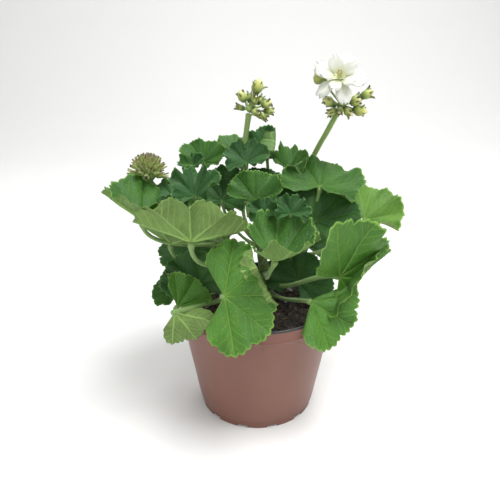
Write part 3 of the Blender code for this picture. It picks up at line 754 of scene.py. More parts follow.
sepalGreen = makeTipMaterial("sepalGreen", (0.09, 0.16, 0.025), (0.17, 0.25, 0.04), (0.08, 0.05, 0.025),
    0.72, 0.55, 0.3)
sepalSpiky = makeTipMaterial("sepalSpiky", (0.2, 0.29, 0.06), (0.36, 0.43, 0.13), (0.3, 0.21, 0.12), 0.78,
    0.6, 0.35)
budCream = makeTipMaterial("budCream", (0.2, 0.28, 0.05), (0.45, 0.48, 0.12), (0.72, 0.7, 0.34), 0.6, 0.5)
stipuleGreen = makeTipMaterial("stipuleGreen", (0.14, 0.24, 0.05), (0.2, 0.31, 0.08), (0.24, 0.2, 0.08),
    0.7, 0.6)


def makeScatter(name, shape):
    # strews small copies of one shape over a surface; every size is a named input
    tree = bpy.data.node_groups.new(name, "GeometryNodeTree")
    tree.interface.new_socket("Geometry", in_out="INPUT", socket_type="NodeSocketGeometry")
    for label, value in (("Density", 1000.0), ("Length", 0.001), ("Radius", 0.0001), ("Tilt", 0.4)):
        tree.interface.new_socket(label, in_out="INPUT", socket_type="NodeSocketFloat").default_value = value
    tree.interface.new_socket("Seed", in_out="INPUT", socket_type="NodeSocketInt")
    tree.interface.new_socket("Material", in_out="INPUT", socket_type="NodeSocketMaterial")
    tree.interface.new_socket("Geometry", in_out="OUTPUT", socket_type="NodeSocketGeometry")
    inside = tree.nodes.new("NodeGroupInput").outputs
    outside = tree.nodes.new("NodeGroupOutput")
    spots = wire(tree, "GeometryNodeDistributePointsOnFaces",
        {"Mesh": inside["Geometry"], "Density": inside["Density"], "Seed": inside["Seed"]})
    if shape == "hair":
        copy = wire(tree, "GeometryNodeMeshCone", {"Vertices": 3, "Radius Top": 0.0,
            "Radius Bottom": inside["Radius"], "Depth": inside["Length"]})
        copy = copy.outputs["Mesh"]
    elif shape == "crumb":
        copy = wire(tree, "GeometryNodeMeshIcoSphere", {"Radius": inside["Radius"],
            "Subdivisions": 1}).outputs["Mesh"]
    else:
        path = wire(tree, "GeometryNodeCurvePrimitiveBezierSegment", {"Resolution": 5})
        span = wire(tree, "ShaderNodeCombineXYZ", {0: inside["Length"]})
        bow = wire(tree, "ShaderNodeCombineXYZ", {0: maths(tree, "MULTIPLY", inside["Length"], 0.4),
            1: maths(tree, "MULTIPLY", inside["Length"], 0.35)})
        tree.links.new(span.outputs[0], path.inputs["End"])
        tree.links.new(bow.outputs[0], path.inputs["Start Handle"])
        path.inputs["Start"].default_value = (0, 0, 0)
        tree.links.new(bow.outputs[0], path.inputs["End Handle"])
        ring = wire(tree, "GeometryNodeCurvePrimitiveCircle", {"Resolution": 4, "Radius": inside["Radius"]})
        copy = wire(tree, "GeometryNodeCurveToMesh", {"Curve": path.outputs[0],
            "Profile Curve": ring.outputs[0], "Fill Caps": True}).outputs[0]
    strewn = wire(tree, "GeometryNodeInstanceOnPoints", {"Points": spots.outputs["Points"],
        "Instance": copy, "Rotation": spots.outputs["Rotation"]})
    lean = wire(tree, "FunctionNodeRandomValue", data_type="FLOAT_VECTOR")
    lowest = maths(tree, "MULTIPLY", inside["Tilt"], -1.0)
    low = wire(tree, "ShaderNodeCombineXYZ", {0: lowest, 1: lowest, 2: -3.14})
    high = wire(tree, "ShaderNodeCombineXYZ", {0: inside["Tilt"], 1: inside["Tilt"], 2: 3.14})
    tree.links.new(low.outputs[0], lean.inputs[0])
    tree.links.new(high.outputs[0], lean.inputs[1])
    tree.links.new(inside["Seed"], lean.inputs["Seed"])
    turned = wire(tree, "GeometryNodeRotateInstances", {"Instances": strewn.outputs[0],
        "Rotation": lean.outputs[0]})
    grow = wire(tree, "FunctionNodeRandomValue", {0: (0.5, 0.5, 0.4), 1: (1.3, 1.2, 1.2), "Seed": 7},
        data_type="FLOAT_VECTOR")
    sized = wire(tree, "GeometryNodeScaleInstances", {"Instances": turned.outputs[0],
        "Scale": grow.outputs[0]})
    real = wire(tree, "GeometryNodeRealizeInstances", {0: sized.outputs[0]})
    coloured = wire(tree, "GeometryNodeSetMaterial", {"Geometry": real.outputs[0],
        "Material": inside["Material"]})
    tree.links.new(coloured.outputs[0], outside.inputs[0])
    return tree


scatters = {shape: makeScatter(shape + "Scatter", shape) for shape in ("hair", "crumb", "fibre")}


def strew(name, surface, shape, slot, **values):
    # runs a scatter over a surface mesh and keeps only the strewn copies
    piece = addPiece(name, surface, [])
    modifier = piece.modifiers.new("scatter", "NODES")
    modifier.node_group = scatters[shape]
    for item in modifier.node_group.interface.items_tree:
        if item.in_out == "INPUT" and item.name in values:
            modifier[item.identifier] = values[item.name]
    bakeModifiers(piece)
    for polygon in piece.data.polygons:
        polygon.use_smooth = shape != "crumb"
    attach(piece, "root")
    return piece


def turnedPiece(name, profile, turns, materials):
    # spins a profile of (radius, height, material) about Z into one closed body
    body = bmesh.new()
    rings = []
    for radius, height, _ in profile:
        if radius == 0:
            rings.append([body.verts.new((0, 0, height))])
        else:
            rings.append([body.verts.new((radius * math.cos(math.tau * k / turns),
                radius * math.sin(math.tau * k / turns), height)) for k in range(turns)])
    for (ring, after), (_, _, slot) in zip(zip(rings, rings[1:]), profile):
        for k in range(turns):
            low = [ring[k], ring[(k + 1) % turns]] if len(ring) > 1 else [ring[0]]
            high = [after[(k + 1) % turns], after[k]] if len(after) > 1 else [after[0]]
            face = body.faces.new(low + high)
            face.material_index = slot
            face.smooth = True
    bmesh.ops.recalc_face_normals(body, faces=body.faces)
    mesh = bpy.data.meshes.new(name)
    body.to_mesh(mesh)
    body.free()
    return addPiece(name, mesh, materials)


# a thermoformed pot: brown outside, black inside and over the lip; sizes in millimetres
pot = {
    "height": 100, "rimRadius": 65, "rimDepth": 10, "collarStep": 0.7, "heelRadius": 50, "heelHeight": 7,
    "footRadius": 48.6, "footWidth": 4.2, "wall": 1.1, "underside": 2.4,
    "notches": 12, "notchWidth": 9, "notchHeight": 2.2, "drains": 8, "drainRadius": 4, "drainCircle": 34,
}


def makePotMaterials():
    brown, tree, shader = newMaterial("potBrown", 0.42)
    point = wire(tree, "ShaderNodeTexCoord")
    cloud = wire(tree, "ShaderNodeTexNoise", {"Vector": point.outputs["Object"], "Scale": 14.0,
        "Detail": 4.0})
    speck = wire(tree, "ShaderNodeTexNoise", {"Vector": point.outputs["Object"], "Scale": 900.0,
        "Detail": 2.0})
    colour = blend(tree, step(tree, cloud.outputs[0], 0.3, 0.7), (0.17, 0.067, 0.046), (0.2, 0.085, 0.06))
    height = wire(tree, "ShaderNodeSeparateXYZ", {0: point.outputs["Object"]}).outputs[2]
    # darker towards the foot of the pot, in cloudy patches
    lowDarkening = maths(tree, "MULTIPLY", step(tree, height, 0.03, 0.0),
        maths(tree, "MULTIPLY", cloud.outputs[0], 0.35))
    colour = blend(tree, lowDarkening, colour, (0.13, 0.052, 0.037))
    colour = blend(tree, maths(tree, "MULTIPLY", step(tree, speck.outputs[0], 0.62, 0.75), 0.25), colour,
        (0.28, 0.14, 0.105))
    tree.links.new(colour, shader.inputs["Base Color"])
    stretch = wire(tree, "ShaderNodeMapping", {"Vector": point.outputs["Object"], "Scale": (1.0, 1.0, 0.08)})
    drawn = wire(tree, "ShaderNodeTexNoise", {"Vector": stretch.outputs[0], "Scale": 220.0, "Detail": 2.0})
    bump = wire(tree, "ShaderNodeBump", {"Height": maths(tree, "MULTIPLY_ADD", drawn.outputs[0], 0.6,
        speck.outputs[0]), "Strength": 0.12, "Distance": 0.0004})
    tree.links.new(bump.outputs[0], shader.inputs["Normal"])
    tree.links.new(maths(tree, "MULTIPLY_ADD", cloud.outputs[0], 0.22, 0.3), shader.inputs["Roughness"])
    black, tree, shader = newMaterial("potBlack", 0.25)
    point = wire(tree, "ShaderNodeTexCoord")
    scuff = wire(tree, "ShaderNodeTexNoise", {"Vector": point.outputs["Object"], "Scale": 120.0,
        "Detail": 4.0})
    tree.links.new(blend(tree, step(tree, scuff.outputs[0], 0.45, 0.75), (0.016, 0.016, 0.017),
        (0.06, 0.052, 0.045)), shader.inputs["Base Color"])
    tree.links.new(maths(tree, "MULTIPLY_ADD", scuff.outputs[0], 0.4, 0.12), shader.inputs["Roughness"])
    return brown, black


potBrown, potBlack = makePotMaterials()


def makePot():
    p = {key: value * mm for key, value in pot.items() if key not in ("notches", "drains")}
    top, rim = p["height"], p["rimRadius"]
    slope = (rim - p["collarStep"] - p["heelRadius"]) / (top - p["rimDepth"] - p["heelHeight"])

    def outer(height):
        return p["heelRadius"] + slope * (height - p["heelHeight"])

    lip = 0.9 * mm
    profile = [(0, p["underside"], 1), (p["footRadius"] - p["footWidth"] - 0.6 * mm, p["underside"], 1),
        (p["footRadius"] - p["footWidth"], 1.2 * mm, 1), (p["footRadius"] - p["footWidth"] + 0.3 * mm, 0,
        0)]
    profile += [(p["footRadius"] - 0.5 * mm, 0, 0), (p["footRadius"] - 0.1 * mm, 0.25 * mm, 0),
        (p["footRadius"], 0.8 * mm, 0), (p["footRadius"] + 0.15 * mm, 5.4 * mm, 0),
        (p["footRadius"] + 0.5 * mm, 6.3 * mm, 0)]
    profile += [(p["heelRadius"] - 0.1 * mm, 6.9 * mm, 0), (p["heelRadius"] + 0.1 * mm, 7.8 * mm, 0)]
    shoulder = top - p["rimDepth"]
    profile += [(outer(h * mm), h * mm, 0) for h in (12, 22, 34, 46, 58, 70, 80, 87)]
    profile += [(outer(shoulder - 1.2 * mm), shoulder - 1.2 * mm, 0),
        (outer(shoulder - 1.2 * mm) + 0.45 * mm, shoulder - 0.7 * mm, 0),
        (outer(shoulder) + p["collarStep"] * 0.9, shoulder - 0.1 * mm, 0),
        (rim - 0.35 * mm, shoulder + 0.6 * mm, 0)]
    profile += [(rim - 0.25 * mm, top - 3.2 * mm, 0), (rim - 0.1 * mm, top - 2.0 * mm, 1)]
    profile += [(rim - lip + lip * math.cos(a), top - lip + lip * math.sin(a), 1)
        for a in (0, 0.5, 1.0, 1.5, 2.0, 2.5)]
    inner = rim - 2 * lip
    profile += [(inner - 0.1 * mm, top - 1.2 * mm, 1), (inner - 0.5 * mm, top - 3 * mm, 1),
        (rim - p["collarStep"] - p["wall"] - 0.6 * mm, shoulder - 0.5 * mm, 1)]
    profile += [(outer(h * mm) - p["wall"], h * mm, 1) for h in (80, 60, 40, 20, 8)]
    profile += [(p["heelRadius"] - p["wall"] - 1.5 * mm, 5 * mm, 1), (0, 5 * mm, 1)]
    piece = turnedPiece("plasticPot", profile, 168, [potBrown, potBlack])
    cutters = bmesh.new()
    for i in range(pot["notches"]):
        turn = math.tau * (i + 0.5) / pot["notches"]
        box = Matrix.Rotation(turn, 4, "Z") @ Matrix.Translation(
            (p["footRadius"] - 1.5 * mm, 0, 0)) @ Matrix.Diagonal(
            (5.5 * mm, p["notchWidth"], 2 * p["notchHeight"], 1))
        bmesh.ops.create_cube(cutters, size=1, matrix=box)
    for i in range(pot["drains"]):
        turn = math.tau * i / pot["drains"]
        spot = Matrix.Translation((p["drainCircle"] * math.cos(turn), p["drainCircle"] * math.sin(turn),
            3 * mm))
        bmesh.ops.create_cone(cutters, cap_ends=True, segments=24, radius1=p["drainRadius"],
            radius2=p["drainRadius"], depth=9 * mm, matrix=spot)
    mesh = bpy.data.meshes.new("potCutters")
    cutters.to_mesh(mesh)
    cutters.free()
    mesh.materials.append(potBrown)
    mesh.materials.append(potBlack)
    tool = bpy.data.objects.new("potCutters", mesh)
    bpy.context.scene.collection.objects.link(tool)
    cut = piece.modifiers.new("cut", "BOOLEAN")
    cut.object = tool
    cut.solver = "EXACT"
    bakeModifiers(piece)
    bpy.data.objects.remove(tool)
    piece.data.set_sharp_from_angle(angle=math.radians(42))
    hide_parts("pot")
    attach(piece, "root")


makePot()
print("pot made")

soil = {"level": 91.4, "radius": 62.6, "rings": 40, "turns": 120, "lumps": 2.4}


def makeSoilMaterials():
    made = []
    for name, dark, light, rough in (
        ("peat", (0.012, 0.01, 0.009), (0.05, 0.036, 0.027), 0.95),
        ("bark", (0.05, 0.026, 0.012), (0.17, 0.1, 0.05), 0.85),
        ("perlite", (0.35, 0.33, 0.3), (0.62, 0.6, 0.56), 0.8),
    ):
        material, tree, shader = newMaterial(name, rough)
        point = wire(tree, "ShaderNodeTexCoord")
        coarse = wire(tree, "ShaderNodeTexNoise", {"Vector": point.outputs["Object"], "Scale": 160.0,
            "Detail": 5.0, "Roughness": 0.7})
        fine = wire(tree, "ShaderNodeTexVoronoi", {"Vector": point.outputs["Object"], "Scale": 900.0})
        tree.links.new(blend(tree, step(tree, coarse.outputs[0], 0.35, 0.7), dark, light),
            shader.inputs["Base Color"])
        height = maths(tree, "MULTIPLY_ADD", fine.outputs["Distance"], 0.6, coarse.outputs[0])
        bump = wire(tree, "ShaderNodeBump", {"Height": height, "Strength": 0.8, "Distance": 0.0008})
        tree.links.new(bump.outputs[0], shader.inputs["Normal"])
        tree.links.new(maths(tree, "MULTIPLY_ADD", coarse.outputs[0], -0.3, rough),
            shader.inputs["Roughness"])
        made.append(material)
    return made


peat, bark, perlite = makeSoilMaterials()


def soilHeight(x, y):
    spot = Vector((x, y, 0)) * 60
    lump = noise.fractal(spot, 1.0, 2.1, 4) + 0.5 * noise.noise(spot * 5)
    edge = min(math.hypot(x, y) / (soil["radius"] * mm), 1)
    return (soil["level"] + soil["lumps"] * lump - 1.6 * edge**6) * mm


def makeSoil():
    rows = soil["rings"]
    body = bmesh.new()
    rings = [[body.verts.new((0, 0, soilHeight(0, 0)))]]
    for i in range(1, rows + 1):
        radius = soil["radius"] * mm * i / rows
        ring = []
        for k in range(soil["turns"]):
            turn = math.tau * k / soil["turns"]
            x, y = radius * math.cos(turn), radius * math.sin(turn)
            ring.append(body.verts.new((x, y, soilHeight(x, y))))
        rings.append(ring)
    for ring, after in zip(rings, rings[1:]):
        for k in range(soil["turns"]):
            n = (k + 1) % soil["turns"]
            body.faces.new([ring[0], after[k], after[n]] if len(ring) == 1
                else [ring[k], after[k], after[n], ring[n]])
    surface = bpy.data.meshes.new("soilTop")
    body.to_mesh(surface)
    lower = []
    for radius, height in ((62.2, 88), (47.6, 7), (0, 6)):
        ring = [body.verts.new((radius * mm * math.cos(math.tau * k / soil["turns"]),
            radius * mm * math.sin(math.tau * k / soil["turns"]), height * mm))
            for k in range(soil["turns"] if radius else 1)]
        lower.append(ring)
    for ring, after in zip([rings[-1], *lower], lower):
        for k in range(soil["turns"]):
            n = (k + 1) % soil["turns"]
            body.faces.new([ring[k], after[0], ring[n]] if len(after) == 1
                else [ring[k], after[k], after[n], ring[n]])
    bmesh.ops.recalc_face_normals(body, faces=body.faces)
    for face in body.faces:
        face.smooth = True
    mesh = bpy.data.meshes.new("peatSoil")
    body.to_mesh(mesh)
    body.free()
    piece = addPiece("peatSoil", mesh, [peat])
    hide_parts("soil")
    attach(piece, "root")
    strew("peatCrumbs", surface.copy(), "crumb", "soil", Density=260000.0, Radius=0.0009, Tilt=3.0,
        Seed=11, Material=peat)
    strew("barkCrumbs", surface.copy(), "crumb", "soil", Density=16000.0, Radius=0.0016, Tilt=3.0, Seed=5,
        Material=bark)
    strew("perliteGrains", surface.copy(), "crumb", "soil", Density=2600.0, Radius=0.0019, Tilt=3.0,
        Seed=23, Material=perlite)
    strew("barkFibres", surface.copy(), "fibre", "soil", Density=52000.0, Length=0.009, Radius=0.00016,
        Tilt=0.45, Seed=31, Material=bark)


makeSoil()
print("soil made")

stalks = {
    # centre line and radius of each flower stalk, in millimetres
    "stalk_left": {"line": [(-37, 19, 154), (-56, 25, 165), (-76, 20, 180), (-85, 13, 191)], "radius": 2.1},
    "stalk_middle": {"line": [(-6, 14, 162), (-11, 22, 190), (-11, 25, 212), (-7, 21, 243)], "radius": 2.1},
    "stalk_right": {"line": [(36, 25, 156), (38, 36, 176), (45, 38, 203), (56, 24, 232), (61, 15, 246)],
        "radius": 2.1},
}


def makeShoots():
    green = []
    for number, (name, plan) in enumerate(shoots.items()):
        line = smoothLine([vec(*point) for point in plan["line"]], 12)
        last = len(line) - 1
        radii = []
        for i in range(last + 1):
            joint = max(0.0, math.cos(i / last * math.tau * 4)) ** 6
            radii.append((plan["foot"] + (plan["tip"] - plan["foot"]) * i / last) * mm
                * (0.94 + 0.16 * joint))
        rod = rodMesh(line, radii, 20, 0.12, 5.0 * number)
        parts = [(rod, 0)]
        for k in range(9):
            share = 0.12 + 0.1 * k
            centre, along, radius = shootAt(name, share)
            turn = 2.4 * k + number
            outward = along.orthogonal().normalized()
            outward = Matrix.Rotation(turn, 3, along) @ outward
            size = (6.5 + 2 * math.sin(3 * k + number)) * mm
            parts.append((scaleMesh(centre + outward * radius * 0.85, (outward * 0.8 + along).normalized(),
                outward, size, size * 0.7, 0.5), 1))
        piece = addPiece(name + "Shoot", joinMeshes(name, parts), [stemGreen, stipuleGreen])
        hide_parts("stem_" + name)
        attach(piece, "root")
        green.append(rod)
    for number, (name, plan) in enumerate(stalks.items()):
        line = smoothLine([vec(*point) for point in plan["line"]], 14)
        last = len(line) - 1
        radii = [plan["radius"] * mm * (1 + 0.25 * max(0, 1 - i / 5) + 0.2 * max(0, 1 - (last - i) / 4))
            for i in range(last + 1)]
        rod = rodMesh(line, radii, 18, 0.05, 9.0 * number)
        piece = addPiece(name.replace("_", "Piece_"), rod, [stalkGreen])
        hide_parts(name)
        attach(piece, "root")
        green.append(rod)
    return green


def makeHairMaterial():
    material, tree, shader = newMaterial("plantHair", 0.5)
    point = wire(tree, "ShaderNodeTexCoord")
    patch = wire(tree, "ShaderNodeTexNoise", {"Vector": point.outputs["Object"], "Scale": 300.0})
    tree.links.new(blend(tree, patch.outputs[0], (0.45, 0.6, 0.3), (0.75, 0.85, 0.62)),
        shader.inputs["Base Color"])
    return material


plantHair = makeHairMaterial()
rods = makeShoots()
strew("stemHair", joinMeshes("stemHair", [(rod, 0) for rod in rods]), "hair", "stem", Density=900000.0,
    Length=0.0011, Radius=0.00005, Tilt=0.5, Seed=3, Material=plantHair)
strew("petioleHair", joinMeshes("petioleHair", [(rod, 0) for rod in petioles]), "hair", "leaf",
    Density=700000.0, Length=0.001, Radius=0.00005, Tilt=0.5, Seed=4, Material=plantHair)
print("stems and hairs made")

# each bud head, in millimetres: the middle of its buds, and for every bud its place from there (x, y, z),
# length, radius and how far it has opened
heads = {
    "left": {
        "core": (-86, 10, 198), "coreRadius": 6.5, "spiky": True,
        "buds": [],
    },
    "middle": {
        "core": (-6, 20, 247), "coreRadius": 3, "spiky": False,
        "buds": [(-6, -1, 10, 10, 3.1, 0.5), (-8, 2, 1, 8, 2.3), (6, 2, 17, 13, 3.4, 0.9),
            (4, -4, 8, 8, 2.6), (13, 0, 4, 9, 2.9, 0.3), (15, 3, -2, 9, 2.6, 0.3), (10, -4, -5, 9, 2.6),
            (5, -5, -2, 9, 3.1), (0, 8, 8, 9, 2.8), (8, 8, 6, 9, 2.8)],
    },
    "right": {
        "core": (63, 14, 251), "coreRadius": 3.4, "spiky": False,
        "buds": [(-11, -3, 3, 10, 3, 0.6), (-8, -5, -5, 9, 2.6, 0.2), (-2, -6, -4, 8, 2.6),
            (5, -5, -5, 9, 2.8, 0.3), (14, -3, -4, 12, 3.2, 0.8), (10, -4, 3, 9, 3, 0.3),
            (19, 0, 8, 11, 3.1, 0.4), (12, 6, 4, 9, 2.9), (2, 9, 0, 9, 2.8), (-7, 6, 0, 9, 2.8),
            (-17, 2, 20, 11, 4.2, 1.0)],
    },
}


# the closed left head is a dense cone of pointed buds
for k in range(30):
    turn, level = 2.4 * k, (k + 0.5) / 30
    reach = 9.5 * math.cos(level * 1.45)
    heads["left"]["buds"].append((reach * math.cos(turn), reach * math.sin(turn),
        -1 + 11.5 * math.sin(level * 1.5), 8.5, 2.6))


def makeHead(name, plan):
    core = vec(*plan["core"])
    radius = plan["coreRadius"] * mm
    parts = [(podMesh(core - Vector((0, 0, radius)), Vector((0, 0, 1)), 2 * radius, radius, 1.0, 0.1), 0)]
    for number, bud in enumerate(plan["buds"]):
        place = vec(*bud[:3])
        length, wide = bud[3] * mm, bud[4] * mm * (1.0 if plan["spiky"] else 1.25)
        opened = bud[5] if len(bud) > 5 else 0.0
        along = (place + Vector((0, 0, 0.0012))).normalized()
        base = core + place - along * length * 0.5
        parts.append((rodMesh(bezier([core, core + place.normalized() * radius, base - along * 2 * mm,
            base + along * 0.6 * mm], 8), [0.8 * mm] * 8 + [1.1 * mm], 8), 0))
        parts.append((podMesh(base, along, length * (0.98 if opened else 0.86),
            wide * (0.8 + 0.3 * opened)), 2))
        side = along.orthogonal().normalized()
        for k in range(5):
            outward = Matrix.Rotation(math.tau * k / 5 + number, 3, along) @ side
            spiky = plan["spiky"]
            reach = length * (1.3 if spiky else 1.0 - 0.25 * opened)
            lean = 0.0 if spiky else 0.1 + 0.5 * opened * (k % 2)
            heading = (along + outward * (0.16 if spiky else 0.1)).normalized()
            start = base + outward * wide * (0.35 if spiky else 0.55)
            parts.append((scaleMesh(start, heading, outward, reach, wide * 1.5, lean,
                0.3, 0.3, 0.55), 1))
        bract = Matrix.Rotation(1.9 * number, 3, place.normalized()) @ place.orthogonal().normalized()
        parts.append((scaleMesh(core + place.normalized() * radius * 0.6,
            (bract + place.normalized()).normalized(), bract, 4.5 * mm, 2 * mm, 0.5), 1))
    sepal = sepalSpiky if plan["spiky"] else sepalGreen
    piece = addPiece("budHead_" + name, joinMeshes("budHead_" + name, parts),
        [stalkGreen, sepal, sepalSpiky if plan["spiky"] else budCream])
    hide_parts("buds_" + name)
    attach(piece, "root")


for name, plan in heads.items():
    makeHead(name, plan)
print("bud heads made")

flower = {"centre": (58.5, 4, 270.5), "face": 262, "lift": 38, "heartRadius": 2.2, "thickness": 0.4}
petals = {
    # turn about the flower, length, width, base, rise, bend, ripple, fold and twist of each petal
    "petal_outer_1": (0, 17.4, 14, 0, 12, -30, 0.05, 0.1, 0),
    "petal_outer_2": (72, 18.4, 15.7, 0, 16, -24, 0.05, 0.05, 8),
    "petal_outer_3": (144, 18.4, 15.7, 0, 14, -26, 0.06, 0.08, -8),
    "petal_outer_4": (216, 17.4, 11.9, 0, 4, -36, 0.05, 0.3, 12),
    "petal_outer_5": (288, 17.4, 13, 0, 6, -34, 0.06, 0.25, -6),
    "petal_inner_1": (36, 13.3, 10.8, 1.4, 44, -22, 0.08, 0.2, 6),
    "petal_inner_2": (108, 13.8, 11.9, 1.4, 48, -18, 0.09, 0.15, -6),
    "petal_inner_3": (180, 13.3, 8.6, 1.4, 36, -22, 0.07, 0.4, 14),
    "petal_inner_4": (252, 12.8, 10.3, 1.4, 40, -26, 0.08, 0.3, 0),
    "petal_inner_5": (324, 12.8, 10.3, 1.4, 42, -22, 0.08, 0.25, -10),
}


def makePetalMaterials():
    made = []
    # the back skin of each petal is a darker, greyer copy of the front white: painted shade
    for name, base, vein, rim in (("petalWhite", (0.78, 0.79, 0.72), (0.7, 0.72, 0.6), (0.82, 0.82, 0.79)),
            ("petalBackShaded", (0.68, 0.69, 0.58), (0.58, 0.61, 0.44), (0.76, 0.77, 0.7))):
        material, tree, shader = newMaterial(name, 0.55)
        uv = wire(tree, "ShaderNodeUVMap", uv_map="blade")
        split = wire(tree, "ShaderNodeSeparateXYZ", {0: uv.outputs[0]})
        point = wire(tree, "ShaderNodeTexCoord")
        waver = wire(tree, "ShaderNodeTexNoise", {"Vector": point.outputs["Object"], "Scale": 180.0,
            "Detail": 2.0})
        line = maths(tree, "MULTIPLY_ADD", split.outputs[0], 13.0,
            maths(tree, "MULTIPLY", waver.outputs[0], 1.2))
        line = maths(tree, "ABSOLUTE", maths(tree, "SUBTRACT", maths(tree, "FRACT", line), 0.5))
        line = maths(tree, "SUBTRACT", 1.0, step(tree, line, 0.02, 0.16))
        foot = maths(tree, "SUBTRACT", 1.0, step(tree, split.outputs[1], 0.0, 0.5))
        colour = blend(tree, step(tree, split.outputs[1], 0.3, 1.0), base, rim)
        colour = blend(tree, maths(tree, "MULTIPLY", line, 0.45), colour, vein)
        colour = blend(tree, maths(tree, "MULTIPLY", foot, 0.75), colour, (0.6, 0.66, 0.25))
        tree.links.new(colour, shader.inputs["Base Color"])
        height = maths(tree, "MULTIPLY_ADD", waver.outputs[0], 0.6, maths(tree, "MULTIPLY", line, -0.5))
        bump = wire(tree, "ShaderNodeBump", {"Height": height, "Strength": 0.3, "Distance": 0.0005})
        tree.links.new(bump.outputs[0], shader.inputs["Normal"])
        shader.inputs["Sheen Weight"].default_value = 0.15
        glow(material, (0.9, 0.92, 0.8), 0.25)
        made.append(material)
    return made


petalSkins = makePetalMaterials()


def petalMesh(name, plan, seed):
    turn, length, width, base, rise, bend, ripple, fold, twist = plan
    flowerTurn = bladeTurn(flower["face"], flower["lift"], 0)
    toFlower = Matrix((flowerTurn.col[0], flowerTurn.col[1], flowerTurn.col[2])).transposed()
    toFlower = toFlower @ Matrix.Rotation(math.radians(turn - 90), 3, "Z")
    centre = vec(*flower["centre"])
    across, along = 16, 20
    sheet = []
    for i in range(across + 1):
        row = []
        side = 2 * i / across - 1
        for k in range(along + 1):
            share = k / along
            half = 0.5 * width * (0.16 + 0.84 * max(0, math.sin(math.pi * share**1.25 * 0.86 + 0.05)) ** 0.8)
            edge = share**2 * (0.6 * abs(side) ** 2 + 0.4 * share)
            reach = length * (1 - 0.1 * side * side * share + 0.05 * math.sin(9 * side + seed) * share**4)
            start, curve = math.radians(rise), math.radians(bend)
            out = reach * (math.sin(start + curve * share) - math.sin(start)) / curve
            up = reach * (math.cos(start) - math.cos(start + curve * share)) / curve
            up += width * ripple * edge * math.sin(7 * side + 6 * share
                + seed) + 0.12 * half * side * side - fold * width * (side * side - 0.3) * share
            up += 0.03 * width * noise.noise(Vector((side * 2, share * 3, seed)))
            lateral = side * half * (1 - 0.35 * fold)
            roll = math.radians(twist) * share
            lateral, up = lateral * math.cos(roll) - up * math.sin(roll) * 0.5, up + lateral * math.sin(roll)
            row.append(Vector((flower["heartRadius"] + 0.6 + out, lateral, base + up)) * mm)
        sheet.append(row)
    body = bmesh.new()
    uv = body.loops.layers.uv.new("blade")
    place = {}
    skins = []
    for skin in (1, -1):
        grid = []
        for i in range(across + 1):
            row = []
            for k in range(along + 1):
                over = sheet[min(i + 1, across)][k] - sheet[max(i - 1, 0)][k]
                ahead = sheet[i][min(k + 1, along)] - sheet[i][max(k - 1, 0)]
                normal = ahead.cross(over).normalized()
                vertex = body.verts.new(centre + toFlower @ (
                    sheet[i][k] + normal * skin * 0.5 * flower["thickness"] * mm))
                place[vertex] = (i / across, k / along)
                row.append(vertex)
            grid.append(row)
        skins.append(grid)

    def put(corners, slot):
        face = body.faces.new(corners)
        face.material_index = slot
        face.smooth = True
        for loop in face.loops:
            loop[uv].uv = place[loop.vert]

    for slot, grid in enumerate(skins):
        for i in range(across):
            for k in range(along):
                corners = [grid[i][k], grid[i][k + 1], grid[i + 1][k + 1], grid[i + 1][k]]
                put(corners if slot == 0 else corners[::-1], slot)
    top, low = skins
    for i in range(across):
        put([top[i][along], low[i][along], low[i + 1][along], top[i + 1][along]], 0)
        put([top[i + 1][0], low[i + 1][0], low[i][0], top[i][0]], 0)
    for k in range(along):
        put([top[0][k], low[0][k], low[0][k + 1], top[0][k + 1]], 0)
        put([top[across][k + 1], low[across][k + 1], low[across][k], top[across][k]], 0)
    bmesh.ops.recalc_face_normals(body, faces=body.faces)
    mesh = bpy.data.meshes.new(name)
    body.to_mesh(mesh)
    body.free()
    return mesh


def makeFlower():
    for number, (name, plan) in enumerate(petals.items()):
        piece = addPiece(name.replace("petal_", "petalPiece_"), petalMesh(name, plan, 2.3 * number),
            petalSkins)
        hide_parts(name)
        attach(piece, "root")
    flowerTurn = bladeTurn(flower["face"], flower["lift"], 0)
    up, normal = flowerTurn.col[0].copy(), flowerTurn.col[2].copy()
    centre = vec(*flower["centre"])
    parts = [(podMesh(centre - normal * 4 * mm, normal, 6 * mm, 2.4 * mm, 1.0, 0.1), 0)]
    for k in range(9):
        outward = Matrix.Rotation(math.tau * k / 9, 3, normal) @ up
        lean = 0.35 + 0.25 * (k % 3)
        parts.append((scaleMesh(centre + outward * 1.1 * mm, (normal + outward * lean).normalized(),
            outward, (6.5 + 1.4 * (k % 2)) * mm, 3.4 * mm, 0.5 + 0.3 * (k % 2), 0.3, 0.35), 1))
    for k in range(5):
        outward = Matrix.Rotation(math.tau * k / 5 + 0.4, 3, normal) @ up
        tip = centre + normal * 7.5 * mm + outward * 1.6 * mm
        parts.append((rodMesh([centre, centre + normal * 4 * mm + outward * 0.6 * mm, tip],
            [0.28 * mm] * 3, 6), 1))
        parts.append((podMesh(tip - normal * 0.5 * mm, normal, 1.5 * mm, 0.6 * mm), 2))
    # five sepals behind the petals and the short stalk of the open flower
    for k in range(5):
        outward = Matrix.Rotation(math.tau * (k + 0.5) / 5, 3, normal) @ up
        parts.append((scaleMesh(centre - normal * 3 * mm, (outward - normal * 0.2).normalized(), -normal,
            8 * mm, 3 * mm, 0.1), 3))
    core = vec(*heads["right"]["core"])
    parts.append((rodMesh(bezier([core, core + Vector((0, 0, 6 * mm)), centre - normal * 9 * mm,
        centre - normal * 3 * mm], 10), [0.9 * mm] * 11, 8), 3))
    piece = addPiece("flowerHeart", joinMeshes("flowerHeart", parts),
        [budCream, heartPetal, anther, sepalGreen])
    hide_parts("flower_heart")
    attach(piece, "root")


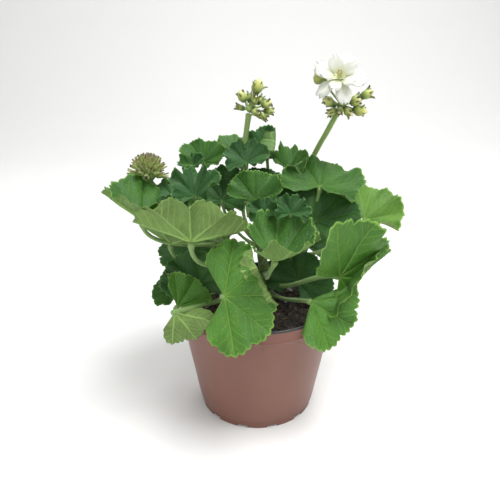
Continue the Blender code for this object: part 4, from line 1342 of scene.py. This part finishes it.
heartPetal = makeTipMaterial("heartPetal", (0.5, 0.56, 0.2), (0.8, 0.82, 0.6), (0.88, 0.88, 0.8), 0.6, 0.5)
anther = makeTipMaterial("anther", (0.3, 0.22, 0.06), (0.45, 0.33, 0.1), (0.3, 0.2, 0.08), 0.6, 0.7)
makeFlower()
print("flower made")


def makeStage():
    # a pale sweep: flat floor that curves up behind the plant
    body = bmesh.new()
    line = [(-2.5, 0.0), (1.0, 0.0)]
    line += [(1.0 + 0.8 * math.sin(a), 0.8 - 0.8 * math.cos(a))
        for a in (0.2, 0.45, 0.7, 0.95, 1.2, 1.4, 1.571)]
    line += [(1.8, 4.0)]
    rows = [[body.verts.new((x, y, z)) for x in (-4.0, 4.0)] for y, z in line]
    for low, high in zip(rows, rows[1:]):
        face = body.faces.new((low[0], low[1], high[1], high[0]))
        face.smooth = True
    mesh = bpy.data.meshes.new("paleSweep")
    body.to_mesh(mesh)
    body.free()
    material, tree, shader = newMaterial("paleSweep", 0.9)
    point = wire(tree, "ShaderNodeTexCoord")
    cloud = wire(tree, "ShaderNodeTexNoise", {"Vector": point.outputs["Object"], "Scale": 1.2, "Detail": 1.0})
    tree.links.new(blend(tree, cloud.outputs[0], (0.8, 0.8, 0.79), (0.84, 0.84, 0.83)),
        shader.inputs["Base Color"])
    addPiece("paleSweep", mesh, [material])


def addLight(name, place, aim, size, power, colour=(1, 1, 1)):
    light = bpy.data.lights.new(name, "AREA")
    light.shape = "DISK"
    light.size = size
    light.energy = power
    light.color = colour
    lamp = bpy.data.objects.new(name, light)
    bpy.context.scene.collection.objects.link(lamp)
    lamp.location = place
    lamp.rotation_euler = (Vector(aim) - Vector(place)).to_track_quat("-Z", "Y").to_euler()


def makeStudio():
    makeStage()
    addLight("topLight", (0.4, -0.3, 1.5), (0, 0, 0.15), 0.9, 26)
    addLight("frontLight", (-0.5, -1.5, 0.8), (0, 0, 0.12), 1.2, 7)
    addLight("backLight", (0.2, 1.0, 1.5), (0, 0.1, 0.2), 1.0, 8)
    world = bpy.data.worlds.new("studio")
    world.use_nodes = True
    world.node_tree.nodes["Background"].inputs["Color"].default_value = (1, 1, 1, 1)
    world.node_tree.nodes["Background"].inputs["Strength"].default_value = 0.5
    bpy.context.scene.world = world
    bpy.context.scene.view_settings.view_transform = "Standard"
    camera = bpy.data.cameras.new("camera")
    camera.sensor_width = 36
    camera.lens = 38.376
    camera.clip_start = 0.01
    shooter = bpy.data.objects.new("camera", camera)
    bpy.context.scene.collection.objects.link(shooter)
    shooter.location = (-0.006, -0.4, 0.3)
    shooter.rotation_euler = (math.radians(68), 0, 0)
    bpy.context.scene.camera = shooter


makeStudio()
bpy.context.view_layer.update()
